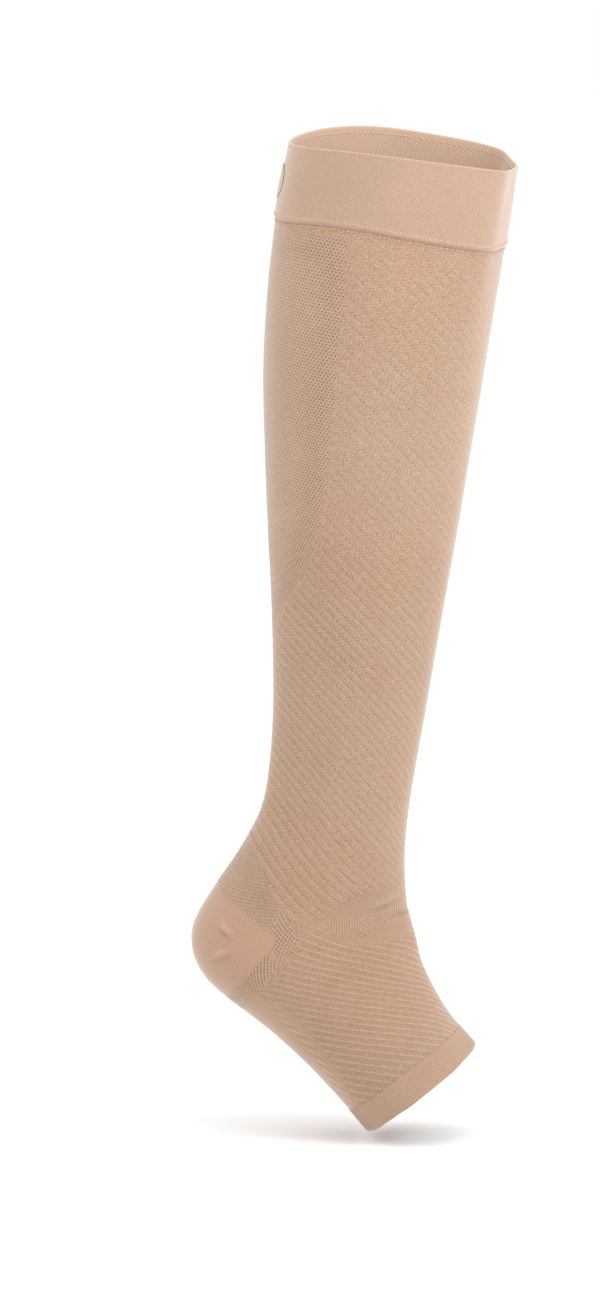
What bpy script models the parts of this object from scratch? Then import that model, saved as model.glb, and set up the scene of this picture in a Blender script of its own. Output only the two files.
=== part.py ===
"""A knee-high compression stocking with an open toe, filled out as if worn.

The stocking is one circular-knitted tube. A table of courses gives the tube's
section at named heights, from the mouth below the knee to the open toe, and
every piece is a stretch of that tube with its own wall: the top band, the leg,
the heel pocket, the foot and the toe band. A blank oval patch lies on the back
of the top band.

Frame: metres, +X to the toes and the shin, +Y to the wearer's left, +Z up. The
origin is the middle of the top band, where the wearer's leg holds the stocking.
"""

import math
from typing import NamedTuple

import bmesh
import bpy
from mathutils import Vector

MM = 0.001

# Cloth. PROUD is how far a piece's face stands outside the single knit.
LEG_WALL = 1.2 * MM
HEEL_WALL = 1.4 * MM
TOP_BAND_WALL = 2.0 * MM
TOP_BAND_PROUD = 0.8 * MM
TOE_BAND_WALL = 1.6 * MM
TOE_BAND_PROUD = 0.2 * MM
SEAM_GAP = 0.3 * MM
EDGE_ROUNDING = 0.5 * MM

# The oval patch on the back of the top band.
PATCH_WIDTH = 22 * MM
PATCH_HEIGHT = 18 * MM
PATCH_THICKNESS = 0.8 * MM
PATCH_DOWN = 19.5 * MM

# Facets: columns round the tube, and rows down each piece.
COLUMNS = 56
TOP_BAND_ROWS = 3
LEG_ROWS = 15
HEEL_ROWS = 6
FOOT_ROWS = 8
TOE_BAND_ROWS = 2
PATCH_SPOKES = 20
PATCH_RINGS = 3


class Course(NamedTuple):
    """The tube's section at one course of the knitting, in millimetres and degrees.

    x, z: the section's middle. tilt: how far its toe side is raised.
    depth: back to front. width: side to side. egg: how much wider the front half
    is than an ellipse, below 0 where the back half is. lift: how far the two
    sides of the course ride up the tube from its plane. skew: how much more of
    that lift lies in the back half. square: how squared off the front is.
    """

    name: str
    x: float
    z: float
    tilt: float
    depth: float
    width: float
    egg: float
    lift: float
    skew: float
    square: float


COURSES = [
    #      name            x      z     tilt  depth  width   egg  lift  skew square
    Course("mouth",       3.5,   21.3,  -6.1, 111.0, 102.5, -0.02, 4.8, 0.4, 1.35),
    Course("grip",       -0.2,    0.6,  -6.0, 112.4, 103.0, -0.03, 5.0, 0.6, 1.20),
    Course("band_edge",  -3.0,  -17.2,  -7.0, 113.0, 103.0, -0.04, 4.6, 1.0, 0.95),
    Course("below_knee", -7.2,  -46.6,  -6.4, 111.8, 101.0, -0.06, 3.4, 0.6, 0.60),
    Course("calf",      -11.7,  -88.2,  -6.2, 107.6,  97.0, -0.09, 1.0, 0.0, 0.30),
    Course("calf_foot", -14.9, -129.3,  -6.2, 100.2,  88.0, -0.09, 0.0, 0.0, 0.00),
    Course("mid_leg",   -17.3, -170.5,  -6.2,  91.6,  77.5, -0.06, 0.0, 0.0, 0.00),
    Course("low_leg",   -20.0, -212.1,  -6.2,  82.4,  67.0,  0.00, 0.0, 0.0, 0.00),
    Course("small",     -23.2, -253.2,  -6.0,  74.8,  59.0,  0.08, 0.0, 0.0, 0.00),
    Course("ankle",     -26.4, -282.2,  -5.4,  71.2,  56.0,  0.14, 0.0, 0.0, 0.00),
    Course("achilles",  -30.1, -305.1,  -4.2,  72.2,  56.0,  0.12, 0.0, 0.0, 0.00),
    Course("heel_top",  -36.2, -324.9,  -2.4,  81.2,  58.0,  0.02, 0.0, 0.0, 0.00),
    Course("heel_up",   -42.8, -342.9,   0.6,  95.0,  60.5, -0.10, 0.0, 0.0, 0.00),
    Course("heel_back", -47.1, -355.6,   5.4, 105.6,  62.5, -0.20, 0.0, 0.0, 0.00),
    Course("heel_turn", -46.6, -364.9,   9.6, 108.2,  64.0, -0.25, 0.0, 0.0, 0.00),
    Course("heel_low",  -43.0, -373.8,  13.4, 105.4,  65.5, -0.25, 0.0, 0.0, 0.00),
    Course("heel_base", -37.0, -382.0,  16.4,  98.2,  66.5, -0.22, 0.0, 0.0, 0.00),
    Course("arch_back", -29.8, -391.4,  17.8,  88.4,  68.0, -0.18, 0.6, 0.0, 0.00),
    Course("arch",      -21.2, -401.3,  21.2,  80.0,  70.0, -0.15, 1.8, 0.0, 0.00),
    Course("instep",    -12.6, -411.4,  27.2,  73.4,  72.5, -0.13, 2.6, 0.0, 0.00),
    Course("ball",       -4.6, -421.4,  33.4,  69.4,  74.5, -0.12, 3.2, 0.0, 0.20),
    Course("toe_seam",    3.6, -431.3,  37.0,  68.0,  76.0, -0.12, 2.4, 0.0, 0.60),
    Course("toe",        12.8, -441.9,  38.6,  68.4,  77.0, -0.12, 0.9, 0.8, 0.60),
]

# The heel pocket, in courses counted on the table (2.5 is halfway from row 2 to
# row 3): where it meets the back of the leg, its side tips, and the sole. The
# tips lie on this column, counted from the front. The power is what makes its
# edges straight as seen from the side.
HEEL_UPPER = 11.8
HEEL_TIP = 13.55
HEEL_LOWER = 16.0
HEEL_TIP_COLUMN = 16
HEEL_EDGE_POWER = 0.65
HEEL_TIP_ANGLE = 2 * math.pi * HEEL_TIP_COLUMN / COLUMNS


def course_number(name):
    return [course.name for course in COURSES].index(name)


def station(number):
    """Length down the tube's middle line from the mouth to a course number."""
    whole = min(int(number), len(COURSES) - 2)
    return STATIONS[whole] + (number - whole) * (STATIONS[whole + 1] - STATIONS[whole])


def stations():
    """Length down the tube's middle line to each course of the table."""
    lengths = [0.0]
    for above, below in zip(COURSES, COURSES[1:]):
        step = math.hypot(below.x - above.x, below.z - above.z) * MM
        lengths.append(lengths[-1] + step)
    return lengths


STATIONS = stations()


def slope(column, index):
    """Rate of change of one column of the table at a course, per metre down."""
    values = [getattr(course, column) for course in COURSES]
    low, high = max(index - 1, 0), min(index + 1, len(COURSES) - 1)
    return (values[high] - values[low]) / (STATIONS[high] - STATIONS[low])


def along(column, down):
    """One column of the table at any length down the tube, on a smooth curve."""
    index = max(i for i, start in enumerate(STATIONS[:-1]) if start <= max(down, 0.0))
    step = STATIONS[index + 1] - STATIONS[index]
    t = (down - STATIONS[index]) / step
    start = getattr(COURSES[index], column)
    end = getattr(COURSES[index + 1], column)
    return (
        (1 + 2 * t) * (1 - t) ** 2 * start
        + t * (1 - t) ** 2 * step * slope(column, index)
        + t * t * (3 - 2 * t) * end
        - t * t * (1 - t) * step * slope(column, index + 1)
    )


def knit(angle, down):
    """A point of the knit's outer face. angle is 0 at the front, turning to +Y."""
    tilt = math.radians(along("tilt", down))
    front = Vector((math.cos(tilt), 0, math.sin(tilt)))
    up_tube = Vector((-math.sin(tilt), 0, math.cos(tilt)))
    middle = Vector((along("x", down), 0, along("z", down))) * MM
    half_depth = along("depth", down) * MM / 2
    half_width = along("width", down) * MM / 2
    corner = (math.sin(angle) ** 2 * max(0.0, math.cos(angle))) ** 2
    fore = math.cos(angle) + along("square", down) * corner
    side = math.sin(angle) * (1 + along("egg", down) * math.cos(angle))
    ride = math.sin(angle) ** 2 * (1 - along("skew", down) * math.cos(angle))
    return (
        middle
        + front * half_depth * fore
        + Vector((0, half_width * side, 0))
        + up_tube * along("lift", down) * MM * ride
    )


def outward(angle, down):
    """The knit's unit normal."""
    turn, drop = 0.01, 0.2 * MM
    round_tube = knit(angle + turn, down) - knit(angle - turn, down)
    down_tube = knit(angle, down + drop) - knit(angle, down - drop)
    return down_tube.cross(round_tube).normalized()


def face_point(angle, down, proud):
    return knit(angle, down) + outward(angle, down) * proud


def shifted(angle, down, distance):
    """The length down the tube that lies a distance further on over the cloth."""
    probe = 0.2 * MM
    travel = (knit(angle, down + probe) - knit(angle, down - probe)).length
    return down + distance * 2 * probe / travel


def heel_share(angle):
    """How far round from a heel tip (0) to the middle of the heel (1)."""
    tip = math.cos(HEEL_TIP_ANGLE)
    return max(0.0, (tip - math.cos(angle)) / (tip + 1)) ** HEEL_EDGE_POWER


def leg_end(angle):
    """Where the leg stops: the ankle course, then up along the heel pocket."""
    return station(HEEL_TIP + (HEEL_UPPER - HEEL_TIP) * heel_share(angle))


def foot_start(angle):
    """Where the foot starts: the ankle course, then down along the heel pocket."""
    return station(HEEL_TIP + (HEEL_LOWER - HEEL_TIP) * heel_share(angle))


def knit_material(name, colour, roughness):
    material = bpy.data.materials.new(name)
    material.use_nodes = True
    shader = material.node_tree.nodes["Principled BSDF"]
    shader.inputs["Base Color"].default_value = (*colour, 1)
    shader.inputs["Roughness"].default_value = roughness
    shader.inputs["Metallic"].default_value = 0
    return material


BEIGE = (0.56, 0.37, 0.25)
ROSY_BEIGE = (0.58, 0.35, 0.24)
PALE_BEIGE = (0.66, 0.50, 0.37)


def cloth_object(name, mesh_builder, wall, material, rounded=False):
    """A sheet as an object, with its wall grown inwards from its outer face."""
    mesh = bpy.data.meshes.new(name)
    mesh_builder.to_mesh(mesh)
    mesh_builder.free()
    mesh.shade_smooth()
    mesh.set_sharp_from_angle(angle=math.radians(50))
    mesh.materials.append(material)
    piece = bpy.data.objects.new(name, mesh)
    bpy.data.collections["compression_stocking"].objects.link(piece)
    solidify = piece.modifiers.new("wall", "SOLIDIFY")
    solidify.thickness = wall
    solidify.offset = -1
    if rounded:
        bevel = piece.modifiers.new("rounded_edges", "BEVEL")
        bevel.limit_method = "ANGLE"
        bevel.angle_limit = math.radians(60)
        bevel.width = EDGE_ROUNDING
        bevel.segments = 2
    return piece


def tube_sheet(start, end, rows, proud):
    """A full turn of cloth between two edges, which are functions of the angle."""
    sheet = bmesh.new()
    rings = []
    for row in range(rows + 1):
        ring = []
        for column in range(COLUMNS):
            angle = 2 * math.pi * column / COLUMNS
            top, bottom = start(angle), end(angle)
            down = top + (bottom - top) * row / rows
            ring.append(sheet.verts.new(face_point(angle, down, proud)))
        rings.append(ring)
    for upper, lower in zip(rings, rings[1:]):
        for column in range(COLUMNS):
            after = (column + 1) % COLUMNS
            corners = (upper[column], lower[column], lower[after], upper[after])
            sheet.faces.new(corners)
    return sheet


def edge_before(limit):
    """The limit less half a seam gap, measured over the cloth."""
    return lambda angle: shifted(angle, limit(angle), -SEAM_GAP / 2)


def edge_after(limit):
    """The limit plus half a seam gap, measured over the cloth."""
    return lambda angle: shifted(angle, limit(angle), SEAM_GAP / 2)


def course_edge(name):
    down = station(course_number(name))
    return lambda angle: down


def top_band():
    """The doubled welt below the knee, which grips the leg."""
    sheet = tube_sheet(
        course_edge("mouth"),
        edge_before(course_edge("band_edge")),
        TOP_BAND_ROWS,
        TOP_BAND_PROUD,
    )
    material = knit_material("top_band_knit", BEIGE, 0.85)
    return cloth_object("top_band", sheet, TOP_BAND_WALL, material, rounded=True)


def leg():
    """The single knit from the top band to the ankle and the heel pocket."""
    sheet = tube_sheet(
        edge_after(course_edge("band_edge")), edge_before(leg_end), LEG_ROWS, 0
    )
    material = knit_material("leg_knit", BEIGE, 0.9)
    return cloth_object("leg", sheet, LEG_WALL, material)


def foot():
    """The single knit from the ankle and the heel pocket to the toe band."""
    sheet = tube_sheet(
        edge_after(foot_start), edge_before(course_edge("toe_seam")), FOOT_ROWS, 0
    )
    material = knit_material("foot_knit", BEIGE, 0.9)
    return cloth_object("foot", sheet, LEG_WALL, material)


def toe_band():
    """The doubled, ribbed hem round the open toe."""
    sheet = tube_sheet(
        edge_after(course_edge("toe_seam")),
        course_edge("toe"),
        TOE_BAND_ROWS,
        TOE_BAND_PROUD,
    )
    material = knit_material("toe_band_knit", ROSY_BEIGE, 0.85)
    return cloth_object("toe_band", sheet, TOE_BAND_WALL, material, rounded=True)


def heel_pocket():
    """The short-row pocket: a patch that narrows to a tip on each side."""
    sheet = bmesh.new()
    first, last = HEEL_TIP_COLUMN + 1, COLUMNS - HEEL_TIP_COLUMN - 1
    starts, ends = edge_after(leg_end), edge_before(foot_start)
    strips = []
    for column in range(first, last + 1):
        angle = 2 * math.pi * column / COLUMNS
        top, bottom = starts(angle), ends(angle)
        steps = [top + (bottom - top) * row / HEEL_ROWS for row in range(HEEL_ROWS + 1)]
        strips.append([sheet.verts.new(face_point(angle, down, 0)) for down in steps])
    for strip, after in zip(strips, strips[1:]):
        for row in range(HEEL_ROWS):
            corners = (strip[row], strip[row + 1], after[row + 1], after[row])
            sheet.faces.new(corners)
    # Each tip stops short of the corner where the leg and the foot meet it.
    clear = 2 * SEAM_GAP / (COURSES[course_number("heel_turn")].width * MM / 2)
    for strip, side in ((strips[0], 1), (strips[-1], -1)):
        angle = side * (HEEL_TIP_ANGLE + clear)
        tip = sheet.verts.new(face_point(angle, leg_end(HEEL_TIP_ANGLE), 0))
        for upper, lower in zip(strip, strip[1:]):
            corners = (tip, lower, upper) if side > 0 else (tip, upper, lower)
            sheet.faces.new(corners)
    material = knit_material("heel_knit", ROSY_BEIGE, 0.85)
    return cloth_object("heel_pocket", sheet, HEEL_WALL, material)


def back_label():
    """A blank oval patch on the back of the top band, just clear of its face."""
    sheet = bmesh.new()
    proud = TOP_BAND_PROUD + SEAM_GAP + PATCH_THICKNESS
    band_width = along("width", PATCH_DOWN) * MM * (1 - along("egg", PATCH_DOWN))
    half_turn = math.asin(PATCH_WIDTH / (band_width + 2 * proud))
    centre = sheet.verts.new(face_point(math.pi, PATCH_DOWN, proud))
    rings = []
    for ring in range(1, PATCH_RINGS + 1):
        share = ring / PATCH_RINGS
        points = []
        for spoke in range(PATCH_SPOKES):
            turn = 2 * math.pi * spoke / PATCH_SPOKES
            angle = math.pi + share * half_turn * math.cos(turn)
            down = PATCH_DOWN + share * PATCH_HEIGHT / 2 * math.sin(turn)
            points.append(sheet.verts.new(face_point(angle, down, proud)))
        rings.append(points)
    for spoke in range(PATCH_SPOKES):
        after = (spoke + 1) % PATCH_SPOKES
        sheet.faces.new((centre, rings[0][after], rings[0][spoke]))
        for inner, outer in zip(rings, rings[1:]):
            corners = (inner[spoke], inner[after], outer[after], outer[spoke])
            sheet.faces.new(corners)
    material = knit_material("label_patch", PALE_BEIGE, 0.6)
    return cloth_object("back_label", sheet, PATCH_THICKNESS, material)


def clear_scene():
    for item in list(bpy.data.objects):
        bpy.data.objects.remove(item, do_unlink=True)


def main():
    clear_scene()
    collection = bpy.data.collections.new("compression_stocking")
    bpy.context.scene.collection.children.link(collection)
    for make_piece in (top_band, back_label, leg, heel_pocket, foot, toe_band):
        make_piece()


main()
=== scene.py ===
"""Dresses a knee-high, open-toe compression stocking: cloth pieces, stitches, finishes and studio.

The stocking is one circular-knitted tube. A table of courses gives the tube's section at named
lengths, and every cloth piece is a closed wall that is wrapped onto a stretch of that tube. The
pattern areas of the knit (ribs, net panels, ankle zone, sole strip) are measured over the cloth in
millimetres and handed to the finishes as attributes.

Frame: metres, +X to the toes, +Y to the wearer's left, +Z up. Lengths here are millimetres unless
a name says otherwise; MM turns them into metres where a mesh is written.
"""

import logging
import math
from dataclasses import dataclass, fields
from enum import Enum
from typing import Callable, Optional, Sequence, Union

import bpy
import numpy as np
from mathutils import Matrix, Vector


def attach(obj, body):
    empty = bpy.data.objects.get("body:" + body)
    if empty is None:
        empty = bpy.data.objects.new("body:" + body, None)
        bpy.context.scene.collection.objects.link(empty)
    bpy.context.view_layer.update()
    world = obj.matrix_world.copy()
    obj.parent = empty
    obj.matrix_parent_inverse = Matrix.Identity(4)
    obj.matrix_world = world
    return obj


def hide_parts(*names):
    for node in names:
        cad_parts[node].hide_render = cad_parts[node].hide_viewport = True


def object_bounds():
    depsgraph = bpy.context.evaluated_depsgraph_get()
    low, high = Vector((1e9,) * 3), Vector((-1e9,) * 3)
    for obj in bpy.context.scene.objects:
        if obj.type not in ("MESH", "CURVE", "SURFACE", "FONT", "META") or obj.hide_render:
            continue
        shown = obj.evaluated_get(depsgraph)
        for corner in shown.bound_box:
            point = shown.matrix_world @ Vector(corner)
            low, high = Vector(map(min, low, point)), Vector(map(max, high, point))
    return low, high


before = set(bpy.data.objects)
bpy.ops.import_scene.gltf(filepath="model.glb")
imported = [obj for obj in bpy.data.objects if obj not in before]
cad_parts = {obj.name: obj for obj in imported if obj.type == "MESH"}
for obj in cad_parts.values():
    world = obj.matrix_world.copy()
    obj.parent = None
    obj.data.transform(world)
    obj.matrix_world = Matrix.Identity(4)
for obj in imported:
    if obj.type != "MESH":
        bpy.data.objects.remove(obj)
CAD_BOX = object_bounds()

LOG = logging.getLogger("stocking")
MM = 0.001
TAU = 2 * math.pi
# a piece's two charts: the one a bake uses, and the one its stitches are counted on
BAKE_CHART = "OFBake"
STITCH_CHART = "knit"

Numbers = Union[float, np.ndarray]
Table = Sequence[tuple[float, float]]

# The knitting machine: needles round the tube, and the height of one course. Its patterns repeat
# over two needles and two courses.
WALES = 400
COURSE_HEIGHT = 0.62
REPEAT = 2

# how far to either side a surface's slope is taken: radians round the tube, millimetres down it
SLOPE_TURN = 0.01
SLOPE_DROP = 0.2


class Span:
    """Lengths down the tube, from and to in millimetres, over which the knit changes."""

    # below the top band: the cloth's waves, the net's bright border and the slanting ribs begin
    WAVES = (39, 60)
    BORDER = (44, 60)
    RIBS = (46, 58)
    # low on the calf: painted shade begins, the net's holes run together and the ribs grow stronger
    DARKER = (150, 220)
    NET_MERGES = (150, 215)
    RIBS_STRONGER = (170, 235)
    # round the heel: its net begins, more painted shade, the pocket turns rosy, the tip
    HEEL_NET = (300, 330)
    DARKER_AGAIN = (310, 370)
    ROSY = (352, 372)
    HEEL_TIP = (369, 378)
    # on the foot: its ribs are drawn, they stand up, the sole's leaves begin, the waves stop
    FOOT = (372, 396)
    FOOT_RIBS = (372, 398)
    LEAVES = (410, 435)
    WAVES_STOP = (446, 458)


# --------------------------------------------------------------------------- the tube


@dataclass(frozen=True)
class Course:
    """The tube's section at one course of the knitting.

    x, z: the section's middle. tilt: degrees that its toe side is raised. depth: back to front.
    width: side to side. egg: how much wider the front half is than an ellipse. lift: how far the
    two sides ride up the tube from the course's plane. skew: how much more of it lies at the back.
    square: how squared off the front is.
    """

    x: float
    z: float
    tilt: float
    depth: float
    width: float
    egg: float
    lift: float
    skew: float
    square: float = 0.0


COURSES = (
    Course(3.5, 21.3, -6.1, 111.0, 102.5, -0.02, 4.8, 0.4, 1.35),
    Course(-0.2, 0.6, -6.0, 112.4, 103.0, -0.03, 5.0, 0.6, 1.20),
    Course(-3.0, -17.2, -7.0, 113.0, 103.0, -0.04, 4.6, 1.0, 0.95),
    Course(-7.2, -46.6, -6.4, 111.8, 101.0, -0.06, 3.4, 0.6, 0.60),
    Course(-11.7, -88.2, -6.2, 107.6, 97.0, -0.09, 1.0, 0.0, 0.30),
    Course(-14.9, -129.3, -6.2, 100.2, 88.0, -0.09, 0.0, 0.0),
    Course(-17.3, -170.5, -6.2, 91.6, 77.5, -0.06, 0.0, 0.0),
    Course(-20.0, -212.1, -6.2, 82.4, 67.0, 0.00, 0.0, 0.0),
    Course(-23.2, -253.2, -6.0, 74.8, 59.0, 0.08, 0.0, 0.0),
    Course(-26.4, -282.2, -5.4, 71.2, 56.0, 0.14, 0.0, 0.0),
    Course(-30.1, -305.1, -4.2, 72.2, 56.0, 0.12, 0.0, 0.0),
    Course(-36.2, -324.9, -2.4, 81.2, 58.0, 0.02, 0.0, 0.0),
    Course(-42.8, -342.9, 0.6, 95.0, 60.5, -0.10, 0.0, 0.0),
    Course(-47.1, -355.6, 5.4, 105.6, 62.5, -0.20, 0.0, 0.0),
    Course(-46.6, -364.9, 9.6, 108.2, 64.0, -0.25, 0.0, 0.0),
    Course(-43.0, -373.8, 13.4, 105.4, 65.5, -0.25, 0.0, 0.0),
    Course(-37.0, -382.0, 16.4, 98.2, 66.5, -0.22, 0.0, 0.0),
    Course(-29.8, -391.4, 17.8, 88.4, 68.0, -0.18, 0.6, 0.0),
    Course(-21.2, -401.3, 21.2, 80.0, 70.0, -0.15, 1.8, 0.0),
    Course(-12.6, -411.4, 27.2, 73.4, 72.5, -0.13, 2.6, 0.0),
    Course(-4.6, -421.4, 33.4, 69.4, 74.5, -0.12, 3.2, 0.0, 0.20),
    Course(3.6, -431.3, 37.0, 68.0, 76.0, -0.12, 2.4, 0.0, 0.60),
    Course(12.8, -441.9, 38.6, 68.4, 77.0, -0.12, 0.9, 0.8, 0.60),
)
BAND_EDGE_COURSE = 2
TOE_SEAM_COURSE = 21
TOE_COURSE = 22
# needles that a toe rib moves sideways over one course
TOE_SLANT = 0.32


class Tube:
    """The knitted tube as a surface: an angle round it and a length down it give a point.

    The angle is 0 at the front and turns to the wearer's left. The length runs down the tube's
    middle line from the mouth.
    """

    ARC_ANGLES = 181
    ARC_LENGTHS = 321

    def __init__(self, courses: Sequence[Course]) -> None:
        """Keeps the courses as columns with their slopes, and measures the girths."""
        names = [column.name for column in fields(Course)]
        self.columns = {name: np.array([getattr(c, name) for c in courses]) for name in names}
        steps = np.hypot(np.diff(self.columns["x"]), np.diff(self.columns["z"]))
        self.stations = np.concatenate([[0.0], np.cumsum(steps)])
        self.slopes = {name: self._slopes(values) for name, values in self.columns.items()}
        self.length = float(self.stations[-1])
        self._measure()

    def _slopes(self, values: np.ndarray) -> np.ndarray:
        """Rate of change of one column at each course, per millimetre down."""
        last = len(values) - 1
        low = np.maximum(np.arange(last + 1) - 1, 0)
        high = np.minimum(np.arange(last + 1) + 1, last)
        return (values[high] - values[low]) / (self.stations[high] - self.stations[low])

    def _measure(self) -> None:
        """Tabulates the length over the cloth from the front to each angle."""
        self.arc_angles = np.linspace(0, math.pi, self.ARC_ANGLES)
        self.arc_downs = np.linspace(0, self.length, self.ARC_LENGTHS)
        points = self.knit(self.arc_angles[None, :], self.arc_downs[:, None])
        steps = np.linalg.norm(np.diff(points, axis=1), axis=2)
        start = np.zeros((self.ARC_LENGTHS, 1))
        self.arcs = np.concatenate([start, np.cumsum(steps, axis=1)], axis=1)

    def station(self, number: float) -> float:
        """The length down to a course number, such as 2.5 for halfway from row 2 to row 3."""
        return float(np.interp(number, np.arange(len(self.stations)), self.stations))

    def stations_at(self, numbers: np.ndarray) -> np.ndarray:
        """The lengths down to several course numbers."""
        return np.interp(numbers, np.arange(len(self.stations)), self.stations)

    def along(self, name: str, down: Numbers) -> np.ndarray:
        """One column of the table at any length down, on a smooth curve."""
        down = np.asarray(down, float)
        last = len(self.stations) - 2
        index = np.clip(np.searchsorted(self.stations, np.maximum(down, 0), "right") - 1, 0, last)
        step = self.stations[index + 1] - self.stations[index]
        t = (down - self.stations[index]) / step
        values, slopes = self.columns[name], self.slopes[name]
        start = (1 + 2 * t) * (1 - t) ** 2 * values[index]
        leave = t * (1 - t) ** 2 * step * slopes[index]
        end = s_curve(t) * values[index + 1]
        arrive = t * t * (1 - t) * step * slopes[index + 1]
        return start + leave + end - arrive

    def knit(self, angle: Numbers, down: Numbers) -> np.ndarray:
        """Points of the knit's outer face."""
        angle, down = np.broadcast_arrays(np.asarray(angle, float), np.asarray(down, float))
        tilt = np.radians(self.along("tilt", down))
        corner = (np.sin(angle) ** 2 * np.maximum(0.0, np.cos(angle))) ** 2
        fore = np.cos(angle) + self.along("square", down) * corner
        fore = self.along("depth", down) / 2 * fore
        side = self.along("width", down) / 2 * np.sin(angle)
        side = side * (1 + self.along("egg", down) * np.cos(angle))
        ride = np.sin(angle) ** 2 * (1 - self.along("skew", down) * np.cos(angle))
        ride = ride * self.along("lift", down)
        x = self.along("x", down) + np.cos(tilt) * fore - np.sin(tilt) * ride
        z = self.along("z", down) + np.sin(tilt) * fore + np.cos(tilt) * ride
        return np.stack([x, side, z], axis=-1)

    def outward(self, angle: Numbers, down: Numbers) -> np.ndarray:
        """The knit's unit normals."""
        return normals_of(self.knit, angle, down)

    def arc(self, angle: Numbers, down: Numbers) -> np.ndarray:
        """Length over the cloth from the front centre line, the short way round."""
        angle, down = np.broadcast_arrays(np.asarray(angle, float), np.asarray(down, float))
        across = folded(angle) / math.pi * (self.ARC_ANGLES - 1)
        drop = np.clip(down / self.length, 0, 1) * (self.ARC_LENGTHS - 1)
        i = np.minimum(across.astype(int), self.ARC_ANGLES - 2)
        j = np.minimum(drop.astype(int), self.ARC_LENGTHS - 2)
        s, t = across - i, drop - j
        upper = self.arcs[j, i] * (1 - s) + self.arcs[j, i + 1] * s
        lower = self.arcs[j + 1, i] * (1 - s) + self.arcs[j + 1, i + 1] * s
        return upper * (1 - t) + lower * t

    def half_girth(self, down: Numbers) -> np.ndarray:
        """Length over the cloth from the front centre line to the back one."""
        return np.interp(down, self.arc_downs, self.arcs[:, -1])

    def wales(self, angle: Numbers, down: Numbers) -> np.ndarray:
        """Stitches counted from the back centre line, below 0 on the wearer's right."""
        side = np.where(np.asarray(angle) > math.pi, -1.0, 1.0)
        return side * WALES / 2 * (1 - self.arc(angle, down) / self.half_girth(down))


def folded(angle: Numbers) -> np.ndarray:
    """An angle's distance from the front, from 0 to pi."""
    return math.pi - np.abs(math.pi - np.mod(np.asarray(angle, float), TAU))


def normals_of(
    surface: Callable[[Numbers, Numbers], np.ndarray],
    angle: Numbers,
    down: Numbers,
    turn: float = SLOPE_TURN,
) -> np.ndarray:
    """Unit normals of a surface of angle and length.

    Args:
        surface: gives points from angles and lengths.
        angle: the angles.
        down: the lengths.
        turn: how far to either side the slope is taken, in radians.

    Returns:
        The normals, pointing out of the tube.
    """
    round_tube = surface(angle + turn, down) - surface(angle - turn, down)
    down_tube = surface(angle, down + SLOPE_DROP) - surface(angle, down - SLOPE_DROP)
    normal = np.cross(down_tube, round_tube)
    return normal / np.linalg.norm(normal, axis=-1, keepdims=True)


def s_curve(share: np.ndarray) -> np.ndarray:
    """A share from 0 to 1, with a smooth start and stop."""
    return share * share * (3 - 2 * share)


def read(table: Table, at: Numbers) -> np.ndarray:
    """A table of (length, value) rows, read between its rows."""
    rows = np.array(table)
    return np.interp(at, rows[:, 0], rows[:, 1])


def eased(table: Table, at: Numbers) -> np.ndarray:
    """A table read with a smooth start and stop at each row."""
    rows = np.array(table)
    at = np.asarray(at, float)
    i = np.clip(np.searchsorted(rows[:, 0], at, "right") - 1, 0, len(rows) - 2)
    t = np.clip((at - rows[i, 0]) / (rows[i + 1, 0] - rows[i, 0]), 0, 1)
    return rows[i, 1] + (rows[i + 1, 1] - rows[i, 1]) * s_curve(t)


def smooth(value: Numbers, low: float, high: float) -> np.ndarray:
    """0 below low, 1 above high, and an even curve between them."""
    return s_curve(np.clip((np.asarray(value, float) - low) / (high - low), 0, 1))


def hill(offset: Numbers, half_width: float) -> np.ndarray:
    """A rounded bump of height 1 that fades to nothing about twice its half width away."""
    return np.exp(-((np.asarray(offset, float) / half_width) ** 2))


TUBE = Tube(COURSES)


# --------------------------------------------------------------------------- the pattern areas


@dataclass(frozen=True)
class HeelShape:
    """A pocket or net area that narrows to a tip on each side of the heel.

    tip_angle: degrees from the front to the tip. upper, tip, lower: course numbers at the back of
    the leg, at the tips and under the sole. power: how straight the edges run. TIP_FALL: how fast
    the area falls away past its tips, in millimetres over the cosine of the angle.
    """

    tip_angle: float
    upper: float
    tip: float
    lower: float
    power: float

    TIP_FALL = 55

    def share(self, angle: Numbers) -> np.ndarray:
        """How far round from a tip (0) to the middle of the heel (1)."""
        tip = math.cos(math.radians(self.tip_angle))
        part = np.maximum(0.0, (tip - np.cos(angle)) / (tip + 1))
        return part**self.power

    def upper_edge(self, angle: Numbers) -> np.ndarray:
        """Length down the tube to the upper edge."""
        return TUBE.stations_at(self.tip + (self.upper - self.tip) * self.share(angle))

    def lower_edge(self, angle: Numbers) -> np.ndarray:
        """Length down the tube to the lower edge."""
        return TUBE.stations_at(self.tip + (self.lower - self.tip) * self.share(angle))

    def inside(self, angle: Numbers, down: Numbers) -> np.ndarray:
        """Millimetres inside the area, below 0 outside it."""
        beyond = np.cos(angle) - math.cos(math.radians(self.tip_angle))
        within = np.minimum(down - self.upper_edge(angle), self.lower_edge(angle) - down)
        return within - self.TIP_FALL * np.maximum(0, beyond)


# the part's tube has 56 flat strips round it, and the pocket's tips lie 16 of them from the front
POCKET = HeelShape(tip_angle=360 * 16 / 56, upper=11.8, tip=13.55, lower=16.0, power=0.65)
HEEL_NET = HeelShape(tip_angle=91, upper=10.7, tip=13.5, lower=16.6, power=0.55)


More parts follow.
